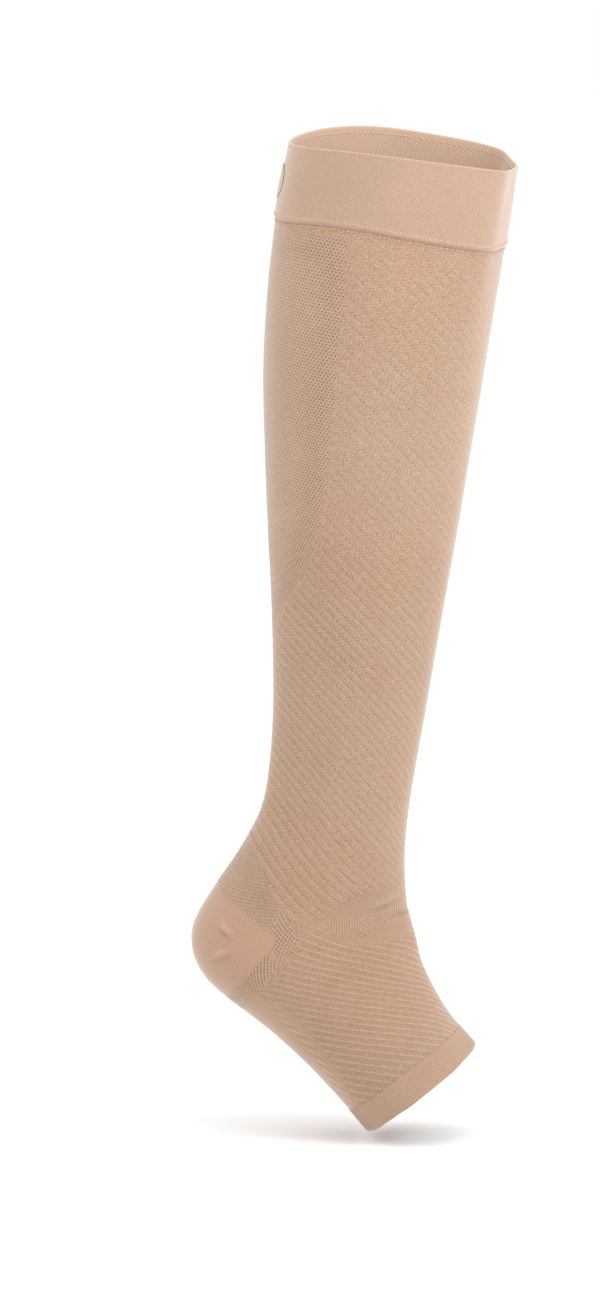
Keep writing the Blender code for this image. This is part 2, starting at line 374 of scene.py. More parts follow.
class Ribs:
    """The slanting ribs, as a count that grows by 1 from one rib to the next.

    PITCH is their spacing down the tube: wide on the calf, closest at the ankle, a little wider
    on the foot. SLANT is how many ribs a course crosses on its way from the front to the back.
    Both are against the length down. PIVOT is how far round SLANT adds nothing, from the front (0)
    to the back (1).
    """

    PITCH: Table = ((100, 5.6), (340, 4.8), (440, 5.0))
    SLANT: Table = ((150, 22), (250, 19.5), (430, 19.5), (480, 22))
    PIVOT = 0.3
    SAMPLES = 600

    def __init__(self) -> None:
        """Adds the spacing up from the mouth."""
        self.downs = np.linspace(0, TUBE.length, self.SAMPLES)
        rate = 1 / eased(self.PITCH, self.downs)
        step = self.downs[1] - self.downs[0]
        self.counts = np.concatenate([[0], np.cumsum((rate[1:] + rate[:-1]) / 2 * step)])

    def count(self, angle: Numbers, down: Numbers) -> np.ndarray:
        """The rib count at points of the tube."""
        turn = folded(angle)
        quarter = TUBE.arc(np.full_like(turn, math.pi / 2), down)
        behind = quarter - TUBE.along("depth", down) / 2 * np.cos(turn)
        reach = np.where(turn < math.pi / 2, TUBE.arc(angle, down), behind)
        share = 0.5 * reach / quarter - self.PIVOT
        return np.interp(down, self.downs, self.counts) + eased(self.SLANT, down) * share


@dataclass(frozen=True)
class Areas:
    """Where each kind of knitting lies. Every method gives millimetres inside its area.

    CALF_NET, SOLE_HALF: how far each reaches from the back centre line, against the length down.
    NET_TOP: the length down to the calf net. ANKLE_DOWN, ANKLE_ARC, ANKLE_DROP: the ankle oval's
    middle and its half sizes round and down. PATCH_START, PATCH_RUN: the arc and the length down
    where the net patch starts, and how far it runs on. PATCH_HALF: half its width.
    """

    CALF_NET: Table = (
        (45, 63.5), (66, 66), (117, 63), (167, 53), (188, 45), (205, 37), (216, 29), (225, 21),
        (248, 1), (260, -12), (480, -60),
    )
    SOLE_HALF: Table = (
        (395, -10), (410, 34), (421, 39.6), (431, 37.5), (448, 34), (469, 28), (480, 25),
    )
    NET_TOP = 43.5
    ANKLE_DOWN = 384
    ANKLE_ARC = 52
    ANKLE_DROP = 20
    PATCH_START = (21, 379.5)
    PATCH_RUN = (15, 13)
    PATCH_HALF = 3.6

    def calf_net(self, angle: Numbers, down: Numbers) -> np.ndarray:
        """The open net up the back of the calf, which narrows to a point."""
        back = TUBE.half_girth(down) - TUBE.arc(angle, down)
        return np.minimum(read(self.CALF_NET, down) - back, down - self.NET_TOP)

    def heel_net(self, angle: Numbers, down: Numbers) -> np.ndarray:
        """The net round the heel pocket."""
        return HEEL_NET.inside(angle, down)

    def ankle(self, angle: Numbers, down: Numbers) -> np.ndarray:
        """The finely ribbed oval over the front of the ankle."""
        across = (TUBE.arc(angle, down) / self.ANKLE_ARC) ** 2.5
        return self.ANKLE_DROP * (1 - across - ((down - self.ANKLE_DOWN) / self.ANKLE_DROP) ** 2)

    def ankle_net(self, angle: Numbers, down: Numbers) -> np.ndarray:
        """The short patch of net inside the ankle oval."""
        across = TUBE.arc(angle, down) - self.PATCH_START[0]
        drop = down - self.PATCH_START[1]
        reach, fall = self.PATCH_RUN
        run = np.clip((across * reach + drop * fall) / (reach**2 + fall**2), 0, 1)
        return self.PATCH_HALF - np.hypot(across - reach * run, drop - fall * run)

    def sole(self, angle: Numbers, down: Numbers) -> np.ndarray:
        """The plain strip under the foot."""
        back = TUBE.half_girth(down) - TUBE.arc(angle, down)
        return read(self.SOLE_HALF, down) - back

    def net(self, angle: Numbers, down: Numbers) -> np.ndarray:
        """All the net areas together."""
        nets = (self.calf_net, self.heel_net, self.ankle_net)
        return np.maximum.reduce([area(angle, down) for area in nets])

    def ribbed(self, angle: Numbers, down: Numbers) -> np.ndarray:
        """Where the slanting ribs show."""
        others = [area(angle, down) for area in (self.net, self.ankle, self.sole)]
        return -np.maximum.reduce(others)


AREAS = Areas()
RIBS = Ribs()


class Side(Enum):
    """Which side of the stocking a crease lies on."""

    RIGHT = -1
    LEFT = 1


@dataclass(frozen=True)
class Crease:
    """A soft trough (height below 0) or ridge in the cloth.

    arc: from the front centre line. down: from the mouth. run: half its length. width: half its
    width. turn: degrees that its toe end drops below a course. height: at its middle.
    """

    side: Side
    arc: float
    down: float
    run: float
    width: float
    turn: float
    height: float

    def at(self, angle: Numbers, down: Numbers) -> np.ndarray:
        """The crease's height at points of the tube."""
        lean = math.radians(self.turn)
        across = TUBE.arc(angle, down) - self.arc
        drop = down - self.down
        forward = -across * math.cos(lean) + drop * math.sin(lean)
        aside = across * math.sin(lean) + drop * math.cos(lean)
        here = self.height * hill(forward, self.run) * hill(aside, self.width)
        return np.where(np.sign(np.sin(angle)) == self.side.value, here, 0.0)


CREASES = (
    # the bend of the ankle, seen side and then the hidden one
    Crease(Side.RIGHT, 20.5, 377.6, 9.5, 2.0, -18, -0.70),
    Crease(Side.RIGHT, 20.0, 374.0, 9.0, 2.2, -18, 0.30),
    Crease(Side.RIGHT, 9.5, 386.7, 7.5, 1.9, 0, -0.65),
    Crease(Side.RIGHT, 26.0, 368.0, 13.0, 3.2, -12, -0.24),
    Crease(Side.RIGHT, 33.0, 394.0, 15.0, 3.6, 6, -0.20),
    Crease(Side.LEFT, 18.0, 375.5, 9.0, 1.7, -12, -0.85),
    Crease(Side.LEFT, 17.5, 372.6, 8.0, 1.9, -12, 0.40),
    Crease(Side.LEFT, 12.0, 385.0, 6.0, 1.6, 6, -0.70),
    Crease(Side.LEFT, 29.0, 365.0, 11.0, 2.8, -16, -0.25),
    Crease(Side.LEFT, 30.0, 395.5, 17.0, 3.4, 4, -0.20),
    # pinches on the heel, where the short rows turn
    Crease(Side.RIGHT, 102.8, 381.3, 3.6, 1.2, 35, 0.85),
    Crease(Side.RIGHT, 103.2, 383.6, 3.2, 1.3, 35, -0.55),
    Crease(Side.RIGHT, 107.6, 390.4, 5.4, 1.2, -10, 0.80),
    Crease(Side.RIGHT, 107.4, 392.8, 4.8, 1.3, -10, -0.50),
    Crease(Side.LEFT, 99.5, 383.8, 4.4, 1.3, 24, 0.75),
    Crease(Side.LEFT, 109.0, 388.8, 3.8, 1.2, -16, 0.70),
    # above the heel and down the leg
    Crease(Side.RIGHT, 92.0, 322.0, 14.0, 4.0, 22, -0.16),
    Crease(Side.LEFT, 88.0, 316.0, 16.0, 4.4, 28, -0.18),
    Crease(Side.RIGHT, 60.0, 250.0, 30.0, 7.0, 40, -0.14),
    Crease(Side.LEFT, 66.0, 232.0, 26.0, 6.0, 34, -0.15),
    Crease(Side.RIGHT, 120.0, 190.0, 28.0, 9.0, -30, 0.16),
    Crease(Side.LEFT, 112.0, 170.0, 32.0, 8.0, -24, 0.15),
    # over the foot
    Crease(Side.RIGHT, 58.0, 415.0, 20.0, 4.0, -14, -0.14),
    Crease(Side.LEFT, 50.0, 424.0, 18.0, 4.4, -8, -0.15),
    Crease(Side.LEFT, 84.0, 408.0, 15.0, 3.6, 10, -0.16),
)


# heights of the single knit's relief: long and short waves, ribs, and how deep the nets lie
LONG_WAVE = 0.16
SHORT_WAVE = 0.07
LEG_RIB = 0.02
FOOT_RIB_MORE = 0.06
NET_SUNK = 0.12


def unevenness(angle: Numbers, down: Numbers) -> np.ndarray:
    """The slight waviness of stretched cloth, different on the two sides."""
    turn = np.asarray(angle, float)
    long_wave = np.sin(3 * turn + down / 31) * np.sin(down / 47 + 1.3)
    short_wave = np.sin(7 * turn - down / 17 + 0.7) * np.sin(down / 23 + 2 * np.cos(turn))
    return LONG_WAVE * long_wave + SHORT_WAVE * short_wave


def creased(angle: Numbers, down: Numbers) -> np.ndarray:
    """How far the creases alone lift the cloth."""
    return np.sum([crease.at(angle, down) for crease in CREASES], axis=0)


def cloth_relief(angle: Numbers, down: Numbers) -> np.ndarray:
    """How far the single knit stands off the even tube: ribs, creases and waviness."""
    height = LEG_RIB + FOOT_RIB_MORE * smooth(down, *Span.FOOT_RIBS)
    relief = unevenness(angle, down) * smooth(down, *Span.WAVES)
    relief = relief * (1 - smooth(down, *Span.WAVES_STOP))
    ribs = height * np.cos(TAU * RIBS.count(angle, down))
    relief = relief + ribs * smooth(AREAS.ribbed(angle, down), 0, 3)
    relief = relief - NET_SUNK * smooth(AREAS.net(angle, down), -0.5, 2.0)
    return relief + creased(angle, down)


# --------------------------------------------------------------------------- shader building


class Wire:
    """A number that a node gives, with the arithmetic written as Python."""

    def __init__(self, shade: "Shade", socket: bpy.types.NodeSocket) -> None:
        """Keeps the socket and the material that it belongs to."""
        self.shade = shade
        self.socket = socket

    def _math(self, operation: str, *values: "Amount") -> "Wire":
        """Adds one Math node."""
        return self.shade.node(
            "ShaderNodeMath", {"operation": operation}, dict(enumerate(values))
        )

    def __add__(self, other: "Amount") -> "Wire":
        """Sum."""
        return self._math("ADD", self, other)

    __radd__ = __add__

    def __sub__(self, other: "Amount") -> "Wire":
        """Difference."""
        return self._math("SUBTRACT", self, other)

    def __rsub__(self, other: "Amount") -> "Wire":
        """Difference with the wire on the right."""
        return self._math("SUBTRACT", other, self)

    def __mul__(self, other: "Amount") -> "Wire":
        """Product."""
        return self._math("MULTIPLY", self, other)

    __rmul__ = __mul__

    def __truediv__(self, other: "Amount") -> "Wire":
        """Quotient."""
        return self._math("DIVIDE", self, other)

    def __abs__(self) -> "Wire":
        """Size without the sign."""
        return self._math("ABSOLUTE", self)

    def cos(self) -> "Wire":
        """Cosine of an angle in radians."""
        return self._math("COSINE", self)

    def fraction(self) -> "Wire":
        """The part after the decimal point."""
        return self._math("FRACT", self)

    def whole(self) -> "Wire":
        """The whole number below."""
        return self._math("FLOOR", self)

    def most(self, other: "Amount") -> "Wire":
        """The larger of two values."""
        return self._math("MAXIMUM", self, other)

    def least(self, other: "Amount") -> "Wire":
        """The smaller of two values."""
        return self._math("MINIMUM", self, other)

    def wave(self) -> "Wire":
        """1 at whole numbers, 0 halfway between them."""
        return (self * TAU).cos() * 0.5 + 0.5

    def off_centre(self, size: float) -> "Wire":
        """How far this count is past the middle of its cell, for cells of a given size."""
        return ((self / size).fraction() - 0.5) * size

    def near(self, centre: float, half_width: float) -> "Wire":
        """1 at a value, fading to 0 at half_width away on both sides."""
        return 1 - abs(self - centre).step(0.0, half_width)

    def step(self, low: float, high: float) -> "Wire":
        """0 below low, 1 above high, and an even curve between them."""
        return self.shade.node(
            "ShaderNodeMapRange",
            {"interpolation_type": "SMOOTHSTEP"},
            {"Value": self, "From Min": low, "From Max": high},
        )


Amount = Union[Wire, float, int]
Colour = tuple[float, float, float]


class Shade:
    """A node material in the making."""

    def __init__(self, name: str) -> None:
        """Starts a material with an empty Principled surface."""
        self.material = bpy.data.materials.new(name)
        self.material.use_nodes = True
        self.nodes = self.material.node_tree.nodes
        self.links = self.material.node_tree.links
        self.surface = self.nodes["Principled BSDF"]
        self.surface.inputs["Metallic"].default_value = 0.0

    def node(
        self,
        kind: str,
        settings: Optional[dict] = None,
        inputs: Optional[dict] = None,
        output: Union[int, str] = 0,
    ) -> Wire:
        """Adds a node.

        Args:
            kind: the node's type.
            settings: its own properties, set first.
            inputs: values or wires by socket name or number.
            output: which of its outputs to give back.

        Returns:
            The wire of that output.
        """
        made = self.nodes.new(kind)
        for name, value in (settings or {}).items():
            setattr(made, name, value)
        for key, value in (inputs or {}).items():
            self.feed(made.inputs[key], value)
        return Wire(self, made.outputs[output])

    def feed(self, socket: bpy.types.NodeSocket, value: Union[Wire, float, Sequence]) -> None:
        """Links a wire to a socket, or sets the socket's own value."""
        if isinstance(value, Wire):
            self.links.new(value.socket, socket)
        elif isinstance(value, (tuple, list)) and socket.type == "RGBA":
            socket.default_value = (*value, 1.0)
        else:
            socket.default_value = value

    def set(self, **values: Union[Wire, float, Sequence]) -> None:
        """Feeds the surface's sockets, named with _ for each space."""
        for name, value in values.items():
            self.feed(self.surface.inputs[name.replace("_", " ")], value)

    def attribute(self, name: str) -> Wire:
        """A number written on the piece."""
        return self.node("ShaderNodeAttribute", {"attribute_name": name}, output="Fac")

    def stitches(self) -> tuple[Wire, Wire]:
        """Stitches counted round the tube and courses counted down it."""
        chart = self.node("ShaderNodeUVMap", {"uv_map": STITCH_CHART})
        return self.part(chart, "X"), self.part(chart, "Y")

    def side_view(self) -> tuple[Wire, Wire]:
        """The object's own x and z, in metres."""
        place = self.node("ShaderNodeTexCoord", output="Object")
        return self.part(place, "X"), self.part(place, "Z")

    def part(self, vector: Wire, axis: str) -> Wire:
        """One of a vector's three numbers."""
        return self.node("ShaderNodeSeparateXYZ", inputs={0: vector}, output=axis)

    def together(self, x: Amount, y: Amount) -> Wire:
        """Two numbers as a vector."""
        return self.node("ShaderNodeCombineXYZ", inputs={"X": x, "Y": y})

    def chance(self, x: Amount, y: Amount) -> Wire:
        """A different number from 0 to 1 for each pair of whole numbers."""
        return self.node(
            "ShaderNodeTexWhiteNoise",
            {"noise_dimensions": "2D"},
            {"Vector": self.together(x, y)},
            output="Value",
        )

    def cloud(self, scale: float, detail: float = 2.0) -> Wire:
        """Soft blotches, a fixed size in the object's own space."""
        place = self.node("ShaderNodeTexCoord", output="Object")
        return self.node(
            "ShaderNodeTexNoise", None, {"Vector": place, "Scale": scale, "Detail": detail}
        )

    def mix(self, first: Union[Wire, Colour], second: Union[Wire, Colour], share: Amount) -> Wire:
        """Two colours mixed, share 0 giving the first."""
        inputs = {0: share, 6: first, 7: second}
        return self.node("ShaderNodeMix", {"data_type": "RGBA"}, inputs, output=2)

    def bump(self, height: Wire) -> Wire:
        """A surface normal from a height in millimetres."""
        return self.node("ShaderNodeBump", None, {"Height": height, "Distance": MM})


# --------------------------------------------------------------------------- finishes


@dataclass(frozen=True)
class Yarn:
    """The colours and gloss of a knit.

    deep is the painted shade between the stitches; lit and rose are the yarn on top of them, in
    light.
    The inner face's colour is painted light, paler than the outer face. roughness: between the
    stitches. smoother: how much less rough their tops are. sheen: of the fuzz, with its own
    roughness and tint.
    """

    deep: Colour
    lit: Colour
    rose: Colour
    pale: Colour = (0.640, 0.455, 0.345)
    roughness: float = 0.95
    smoother: float = 0.12
    sheen: float = 0.70
    sheen_roughness: float = 0.40
    sheen_tint: Colour = (1.0, 0.97, 0.93)
    specular: float = 0.25

    def finish(self, shade: "Shade", look: "Knitting", rosiness: Amount, inner: Amount) -> None:
        """Sets the surface.

        Args:
            shade: the material.
            look: the knit's tone and height.
            rosiness: the share of rosy yarn.
            inner: 1 on the cloth's inner face, which painted light makes paler.
        """
        plain = shade.mix(self.deep, self.lit, look.tone)
        rosy = shade.mix(self.deep, self.rose, look.tone)
        # the inner face's colour: painted light, a paler mix
        pale = shade.mix(self.lit, self.pale, look.tone)
        outer = shade.mix(plain, rosy, rosiness)
        shade.set(
            Base_Color=shade.mix(outer, pale, inner),
            Roughness=self.roughness - look.tone * self.smoother,
            Normal=shade.bump(look.height),
            Sheen_Weight=self.sheen,
            Sheen_Roughness=self.sheen_roughness,
            Sheen_Tint=self.sheen_tint,
            Specular_IOR_Level=self.specular,
        )


BEIGE_YARN = Yarn(deep=(0.183, 0.090, 0.030), lit=(0.532, 0.369, 0.267), rose=(0.556, 0.352, 0.251))
BAND_YARN = Yarn(deep=(0.185, 0.096, 0.040), lit=(0.546, 0.388, 0.288), rose=(0.562, 0.376, 0.276))
ROSE_YARN = Yarn(deep=(0.180, 0.092, 0.050), lit=(0.520, 0.360, 0.264), rose=(0.548, 0.322, 0.218))


@dataclass(frozen=True)
class Knitting:
    """How one kind of knitting looks: its tone, 0 deep to 1 lit, and its height in millimetres."""

    tone: Wire
    height: Wire

    def over(self, below: "Knitting", share: Amount) -> "Knitting":
        """This knitting where share is 1, and the one below where it is 0."""
        return Knitting(
            below.tone + (self.tone - below.tone) * share,
            below.height + (self.height - below.height) * share,
        )

    def shaded(self, tone: Wire, height: Amount = 0.0) -> "Knitting":
        """The same knitting with something added to its tone and its height."""
        return Knitting(self.tone + tone, self.height + height)


class Chart:
    """A knit's stitch chart, and the patterns that the finishes draw from it.

    WORM_TWIST, WORM_SQUEEZE: how crooked and how flat the short strokes are.
    """

    WORM_TWIST = 1.1
    WORM_SQUEEZE = 1.15

    def __init__(self, shade: Shade) -> None:
        """Reads the piece's own chart."""
        self.shade = shade
        self.wale, self.course = shade.stitches()
        self.cell = shade.chance((self.wale / REPEAT).whole(), (self.course / REPEAT).whole())

    def turn(self) -> Wire:
        """How far round the stitch lies, from the back centre line (0) to the front one (1)."""
        return abs(self.wale) / (WALES / 2)

    def down(self, start: float, end: float) -> Wire:
        """0 above one length down the tube, 1 below another one, in millimetres."""
        return self.course.step(start / COURSE_HEIGHT, end / COURSE_HEIGHT)

    def lines(self, per_wale: float, per_course: float) -> Wire:
        """Soft even lines, from -1 to 1, as many to a needle and to a course as stated."""
        return (abs(self.wale) * per_wale + self.course * per_course).wave() * 2 - 1

    def loops(self) -> Wire:
        """The rounded tops of single loops."""
        column = self.wale.wave()
        return column * 0.5 + (self.course + column * 0.4).wave() * 0.5

    def worms(self, scale: float = 0.62) -> Wire:
        """Short crooked strokes about two stitches long, from about -1 to 1."""
        place = self.shade.together(self.wale, self.course * self.WORM_SQUEEZE)
        inputs = {"Vector": place, "Scale": scale, "Detail": 1.0, "Distortion": self.WORM_TWIST}
        noise = self.shade.node("ShaderNodeTexNoise", None, inputs)
        return (noise - 0.5) * 4.0

    def grain(self) -> Wire:
        """A different value for each stitch, from -1 to 1."""
        return self.shade.chance(self.wale.whole(), self.course.whole()) * 2 - 1

    def flecks(self, share: float) -> Wire:
        """Round bright loops on a share of the stitch pairs."""
        spot = (self.wale * 0.5 + 0.5).wave() * (self.course * 0.5 + 0.5).wave()
        return spot.step(0.30, 0.75) * self.cell.step(1 - share - 0.02, 1 - share + 0.02)


@dataclass(frozen=True)
class Finish:
    """A named material. Each kind of finish says what its surface is."""

    name: str

    def material(self) -> bpy.types.Material:
        """Builds the material."""
        shade = Shade(self.name)
        self.draw(shade)
        return shade.material

    def draw(self, shade: Shade) -> None:
        """Sets the surface."""
        raise NotImplementedError


@dataclass(frozen=True)
class PatternKnit(Finish):
    """The single knit of the leg and the foot, with all its pattern areas."""

    yarn: Yarn

    # how much the rib count changes over one needle and one course
    RIB_PER_WALE = 0.11
    RIB_PER_COURSE = 0.117
    # sets of lines, each as many to a needle and to a course: the net's on the calf, then above
    # and below the heel's tip, the ribs' dashes on the leg, and the foot's rows and strokes
    CALF_LINES = ((0.44, -0.22), (0.04, -0.425), (0.40, 0.205))
    HEEL_LINES = (((0.275, -0.58), (0.29, 0.21)), ((0.33, 0.24), (0.31, -0.27)))
    DASH_LINES = ((0.05, 0.455), (0.355, 0.08))
    FOOT_ROWS = (0.13, 0.51)
    FOOT_STROKES = 0.454
    # how far apart the sole's leaves are, down the tube and round it
    LEAF_COURSES = 10
    LEAF_NEEDLES = 11
    # how ragged the borders are, the tone of a border's stitches, and the painted shade in a
    # crease's trough with painted highlight on its ridge
    RAGGED = 1.8
    BORDER_FLECK = 0.38
    FOLD = 0.26

    def draw(self, shade: Shade) -> None:
        """Sets the surface."""
        chart = Chart(shade)
        net = shade.attribute("net")
        ribbed = shade.attribute("ribbed")
        sole = shade.attribute("sole")
        foot = chart.down(*Span.FOOT)
        worms = chart.worms()

        # the border of every area follows whole stitches, so it is a little ragged
        ragged = (chart.cell - 0.5) * self.RAGGED
        in_net = (net + ragged * 1.7).step(-0.6, 0.8)
        in_ankle = (shade.attribute("ankle") + ragged).step(-0.5, 1.5)
        in_sole = (sole + ragged * 0.5).step(-0.5, 1.0)

        look = self._leg_ribs(shade, chart, worms)
        foot_share = (ribbed + ragged * 0.5).step(-0.5, 2.5) * foot
        look = self._foot_ribs(shade, chart, worms).over(look, foot_share)
        look = self._sole(chart, sole, worms).over(look, in_sole)
        look = self._ankle(chart, worms).over(look, in_ankle)
        look = self._net(chart, net, worms).over(look, in_net)

        border = (net + 1.2).near(0.0, 2.4) * chart.down(*Span.BORDER) * (1 - foot)
        flecks = chart.flecks(0.55) * border
        look = look.shaded(flecks * self.BORDER_FLECK, flecks * 0.10)
        # painted shade: the yarn is toned down low on the calf and again round the heel
        painted_shade = chart.down(*Span.DARKER) * -0.05 - chart.down(*Span.DARKER_AGAIN) * 0.05
        look = look.shaded(painted_shade)
        # painted shadow: a dim strip of the leg just under the top band's lower edge
        edge = TUBE.station(BAND_EDGE_COURSE)
        look = look.shaded((chart.down(edge + 0.6, edge + 3.0) - 1) * 0.12)
        look = look.shaded((shade.cloud(42.0) - 0.5) * 0.08 + (shade.cloud(13.0) - 0.5) * 0.10)
        # painted shade in the creases' troughs and painted highlight on their ridges
        look = look.shaded(shade.attribute("fold") * self.FOLD)
        rosiness = (shade.cloud(9.0) - 0.40).most(0.0) * 3.0
        rosiness = rosiness.least(1.0) * (1 - in_net * 0.8)
        # the inner face takes 0.7 of the painted light
        self.yarn.finish(shade, look, rosiness, shade.attribute("inner") * 0.7)

    def _net(self, chart: Chart, net: Wire, worms: Wire) -> Knitting:
        """Open net: holes in staggered rows, which run together lower down the calf."""
        low = chart.down(*Span.NET_MERGES)
        heel = chart.down(*Span.HEEL_NET)
        # three sets of lines cross on the calf, and where they add up there is a hole
        steep, flat, rising = (chart.lines(*each) for each in self.CALF_LINES)
        calf = (steep + flat) * (1 - low * 0.55) + rising * (low * 0.5 + 1)
        turn = chart.turn()
        pocket = heel * turn.step(0.38, 0.44)
        tip = chart.down(*Span.HEEL_TIP)
        above, below = (chart.lines(*a) + chart.lines(*b) for a, b in self.HEEL_LINES)
        holes = calf + (above + (below - above) * tip - calf) * pocket
        hole = (holes + worms * 0.5 + (chart.cell - 0.5) * 0.6).step(-0.3, 1.8)
        calf_depth = 0.50 * (1 - turn.step(0.78, 0.94) * 0.75) * (1 - heel * 0.2)
        heel_depth = (0.36 + net.step(0.0, 7.0) * 0.14) * (1 - tip * 0.12)
        tone = 0.81 - hole * (calf_depth + (heel_depth - calf_depth) * pocket)
        tone = tone + worms * 0.09 + chart.grain() * 0.06 - net.near(7.0, 9.0) * 0.05
        return Knitting(tone, hole * -0.20 + chart.loops() * 0.05)

    def _leg_ribs(self, shade: Shade, chart: Chart, worms: Wire) -> Knitting:
        """Slanting ribs with thin grooves; the small dashes on them change step at each rib."""
        stepped = abs(chart.wale).off_centre(REPEAT) * self.RIB_PER_WALE
        stepped = stepped - chart.course.off_centre(REPEAT) * self.RIB_PER_COURSE
        count = shade.attribute("rib_count") + stepped * 0.35
        phase = count.fraction()
        behind = chart.turn().step(0.25, 0.75)
        lower = chart.down(*Span.RIBS_STRONGER) * (0.55 - behind * 0.25)
        strong = chart.down(*Span.RIBS) * (lower + 0.50)
        groove = (abs(phase - 0.5) * 2).step(0.66, 0.98) * 0.12
        ridge = phase.near(0.34, 0.20) * 0.09
        rib = (ridge - groove) * strong
        level, upright = (chart.lines(*each) for each in self.DASH_LINES)
        dashes = level + upright * 0.8
        change = ((count * 0.5).wave() - 0.5) * 2
        flecks = chart.flecks(0.20)
        tone = 0.65 + worms * 0.11 + chart.grain() * 0.10 + dashes * change * 0.08
        tone = tone + flecks * 0.20 + rib
        height = worms * 0.03 + rib * 0.4 + flecks * 0.05
        return Knitting(tone, height + dashes * change * 0.02)

    def _foot_ribs(self, shade: Shade, chart: Chart, worms: Wire) -> Knitting:
        """Narrow raised ribs, each a string of short slanted strokes."""
        count = shade.attribute("rib_count") + worms * 0.03
        ridge = count.wave().step(0.68, 1.0)
        strokes = (abs(chart.wale) * self.FOOT_STROKES + count.off_centre(1.0) * 0.4).wave()
        tone = 0.61 + ridge * (0.02 + strokes * 0.42) + chart.lines(*self.FOOT_ROWS) * 0.05
        tone = tone + worms * 0.13 + chart.grain() * 0.08
        return Knitting(tone, ridge * (0.04 + strokes * 0.16) + worms * 0.04)

    @staticmethod
    def _ankle(chart: Chart, worms: Wire) -> Knitting:
        """Fine upright ribs over the front of the ankle."""
        rib = (chart.wale * 0.5).wave().step(0.1, 0.9)
        fade = abs(chart.wale).step(14.0, 40.0) * 0.8 + 0.2
        tone = 0.68 + (rib - 0.5) * fade * 0.29 + worms * 0.07 + chart.grain() * 0.04
        return Knitting(tone, rib * fade * 0.14)

    def _sole(self, chart: Chart, sole: Wire, worms: Wire) -> Knitting:
        """Plain strip under the foot with leaf-shaped loops along its borders."""
        fine = (chart.wale * 0.5).wave() - 0.5
        row = (chart.course / self.LEAF_COURSES - abs(chart.wale) / self.LEAF_NEEDLES).fraction()
        leaf = (row.near(0.40, 0.22) - row.near(0.72, 0.18) * 0.8) * sole.near(6.0, 5.0)
        leaf = leaf * chart.down(*Span.LEAVES)
        tone = 0.70 + fine * 0.08 + worms * 0.07 + leaf * 0.26
        return Knitting(tone, leaf * 0.25 + fine * 0.04)


@dataclass(frozen=True)
class BandKnit(Finish):
    """The doubled welt's knit: staggered stitches that read as a fine twill."""

    yarn: Yarn

    TWILL_LINES = ((0.44, -0.30), (0.42, 0.295))

    def draw(self, shade: Shade) -> None:
        """Sets the surface."""
        chart = Chart(shade)
        falling, rising = (chart.lines(*each) for each in self.TWILL_LINES)
        twill = falling + rising * 0.8
        edge = TUBE.station(BAND_EDGE_COURSE)
        above_ridge = 1 - chart.down(edge - 5.0, edge - 4.0)
        front = abs(chart.wale).step(30.0, 70.0) * 0.7 + 0.3
        tone = 0.72 - twill * above_ridge * front * 0.075
        tone = tone + chart.worms(0.8) * 0.07 + chart.grain() * 0.05
        # the seam mark dims the band's lowest millimetre: the seam itself, and painted shade under
        # the ridge
        tone = tone - shade.attribute("seam") * 0.14 + (shade.cloud(30.0) - 0.5) * 0.10
        height = twill * above_ridge * -0.03 + chart.grain() * 0.01
        rosiness = (shade.cloud(7.0) - 0.36).most(0.0) * 2.6
        inner = shade.attribute("inner")
        self.yarn.finish(shade, Knitting(tone, height), rosiness.least(1.0), inner)


@dataclass(frozen=True)
class HeelKnit(Finish):
    """The heel pocket's dense knit: smooth above, fine slanting lines and rosy yarn below.

    pitch: the lines' spacing. across, down: the direction square to them, seen from the side.
    """

    yarn: Yarn
    pitch: float = 1.15
    across: float = 0.77
    down: float = 0.64

    def draw(self, shade: Shade) -> None:
        """Sets the surface."""
        chart = Chart(shade)
        x, z = shade.side_view()
        line = ((x * self.across + z * self.down) / (self.pitch * MM)).wave() - 0.5
        low = chart.down(*Span.ROSY) * chart.turn().step(0.08, 0.30)
        tone = 0.71 + line * (low * 0.22 + 0.02) + chart.worms() * 0.05 + chart.grain() * 0.04
        tone = tone - shade.attribute("seam") * 0.04 + (shade.cloud(40.0) - 0.5) * 0.08
        # painted highlight on the heel pinches' ridges and painted shade in their troughs
        tone = tone + shade.attribute("fold") * 0.24
        height = line * (low * 0.07 + 0.01) + chart.grain() * 0.01
        rosiness = low * (shade.cloud(60.0) * 0.5 + 0.35) + 0.15
        inner = shade.attribute("inner")
        self.yarn.finish(shade, Knitting(tone, height), rosiness, inner)


@dataclass(frozen=True)
class ToeKnit(Finish):
    """The toe band's ribs: painted light on their tops and painted shade in their valleys."""

    yarn: Yarn
    ribs: int

    def draw(self, shade: Shade) -> None:
        """Sets the surface."""
        chart = Chart(shade)
        fall = chart.course - TUBE.station(TOE_SEAM_COURSE) / COURSE_HEIGHT
        rib = ((abs(chart.wale) + fall * TOE_SLANT) * (self.ribs / WALES)).wave()
        hook = (chart.course + rib * 0.4).wave() - 0.5
        dashes = (chart.wale * 0.5).wave().step(0.2, 0.8)
        seam = shade.attribute("seam") * (0.35 + dashes * 0.65)
        tone = 0.68 + (rib - 0.5) * 0.38 + hook * rib * 0.06 + chart.grain() * 0.05
        tone = tone - seam * 0.26 + (shade.cloud(40.0) - 0.5) * 0.08
        rosiness = (1 - chart.turn().step(0.62, 0.95)) * 0.30
        inner = shade.attribute("inner")
        look = Knitting(tone, hook * 0.03 + chart.grain() * 0.02)
        self.yarn.finish(shade, look, rosiness, inner)


@dataclass(frozen=True)
class ThreadFinish(Finish):
    """Plain twisted thread, for the small separate stitches."""

    yarn: Yarn
    # share of the inner face's painted light
    pale: float = 0.0
    tone: float = 1.2

    def draw(self, shade: Shade) -> None:
        """Sets the surface."""
        fuzz = shade.cloud(900.0, 3.0)
        look = Knitting(self.tone + (fuzz - 0.5) * 0.3, fuzz * 0.05)
        self.yarn.finish(shade, look, 0.3, self.pale)


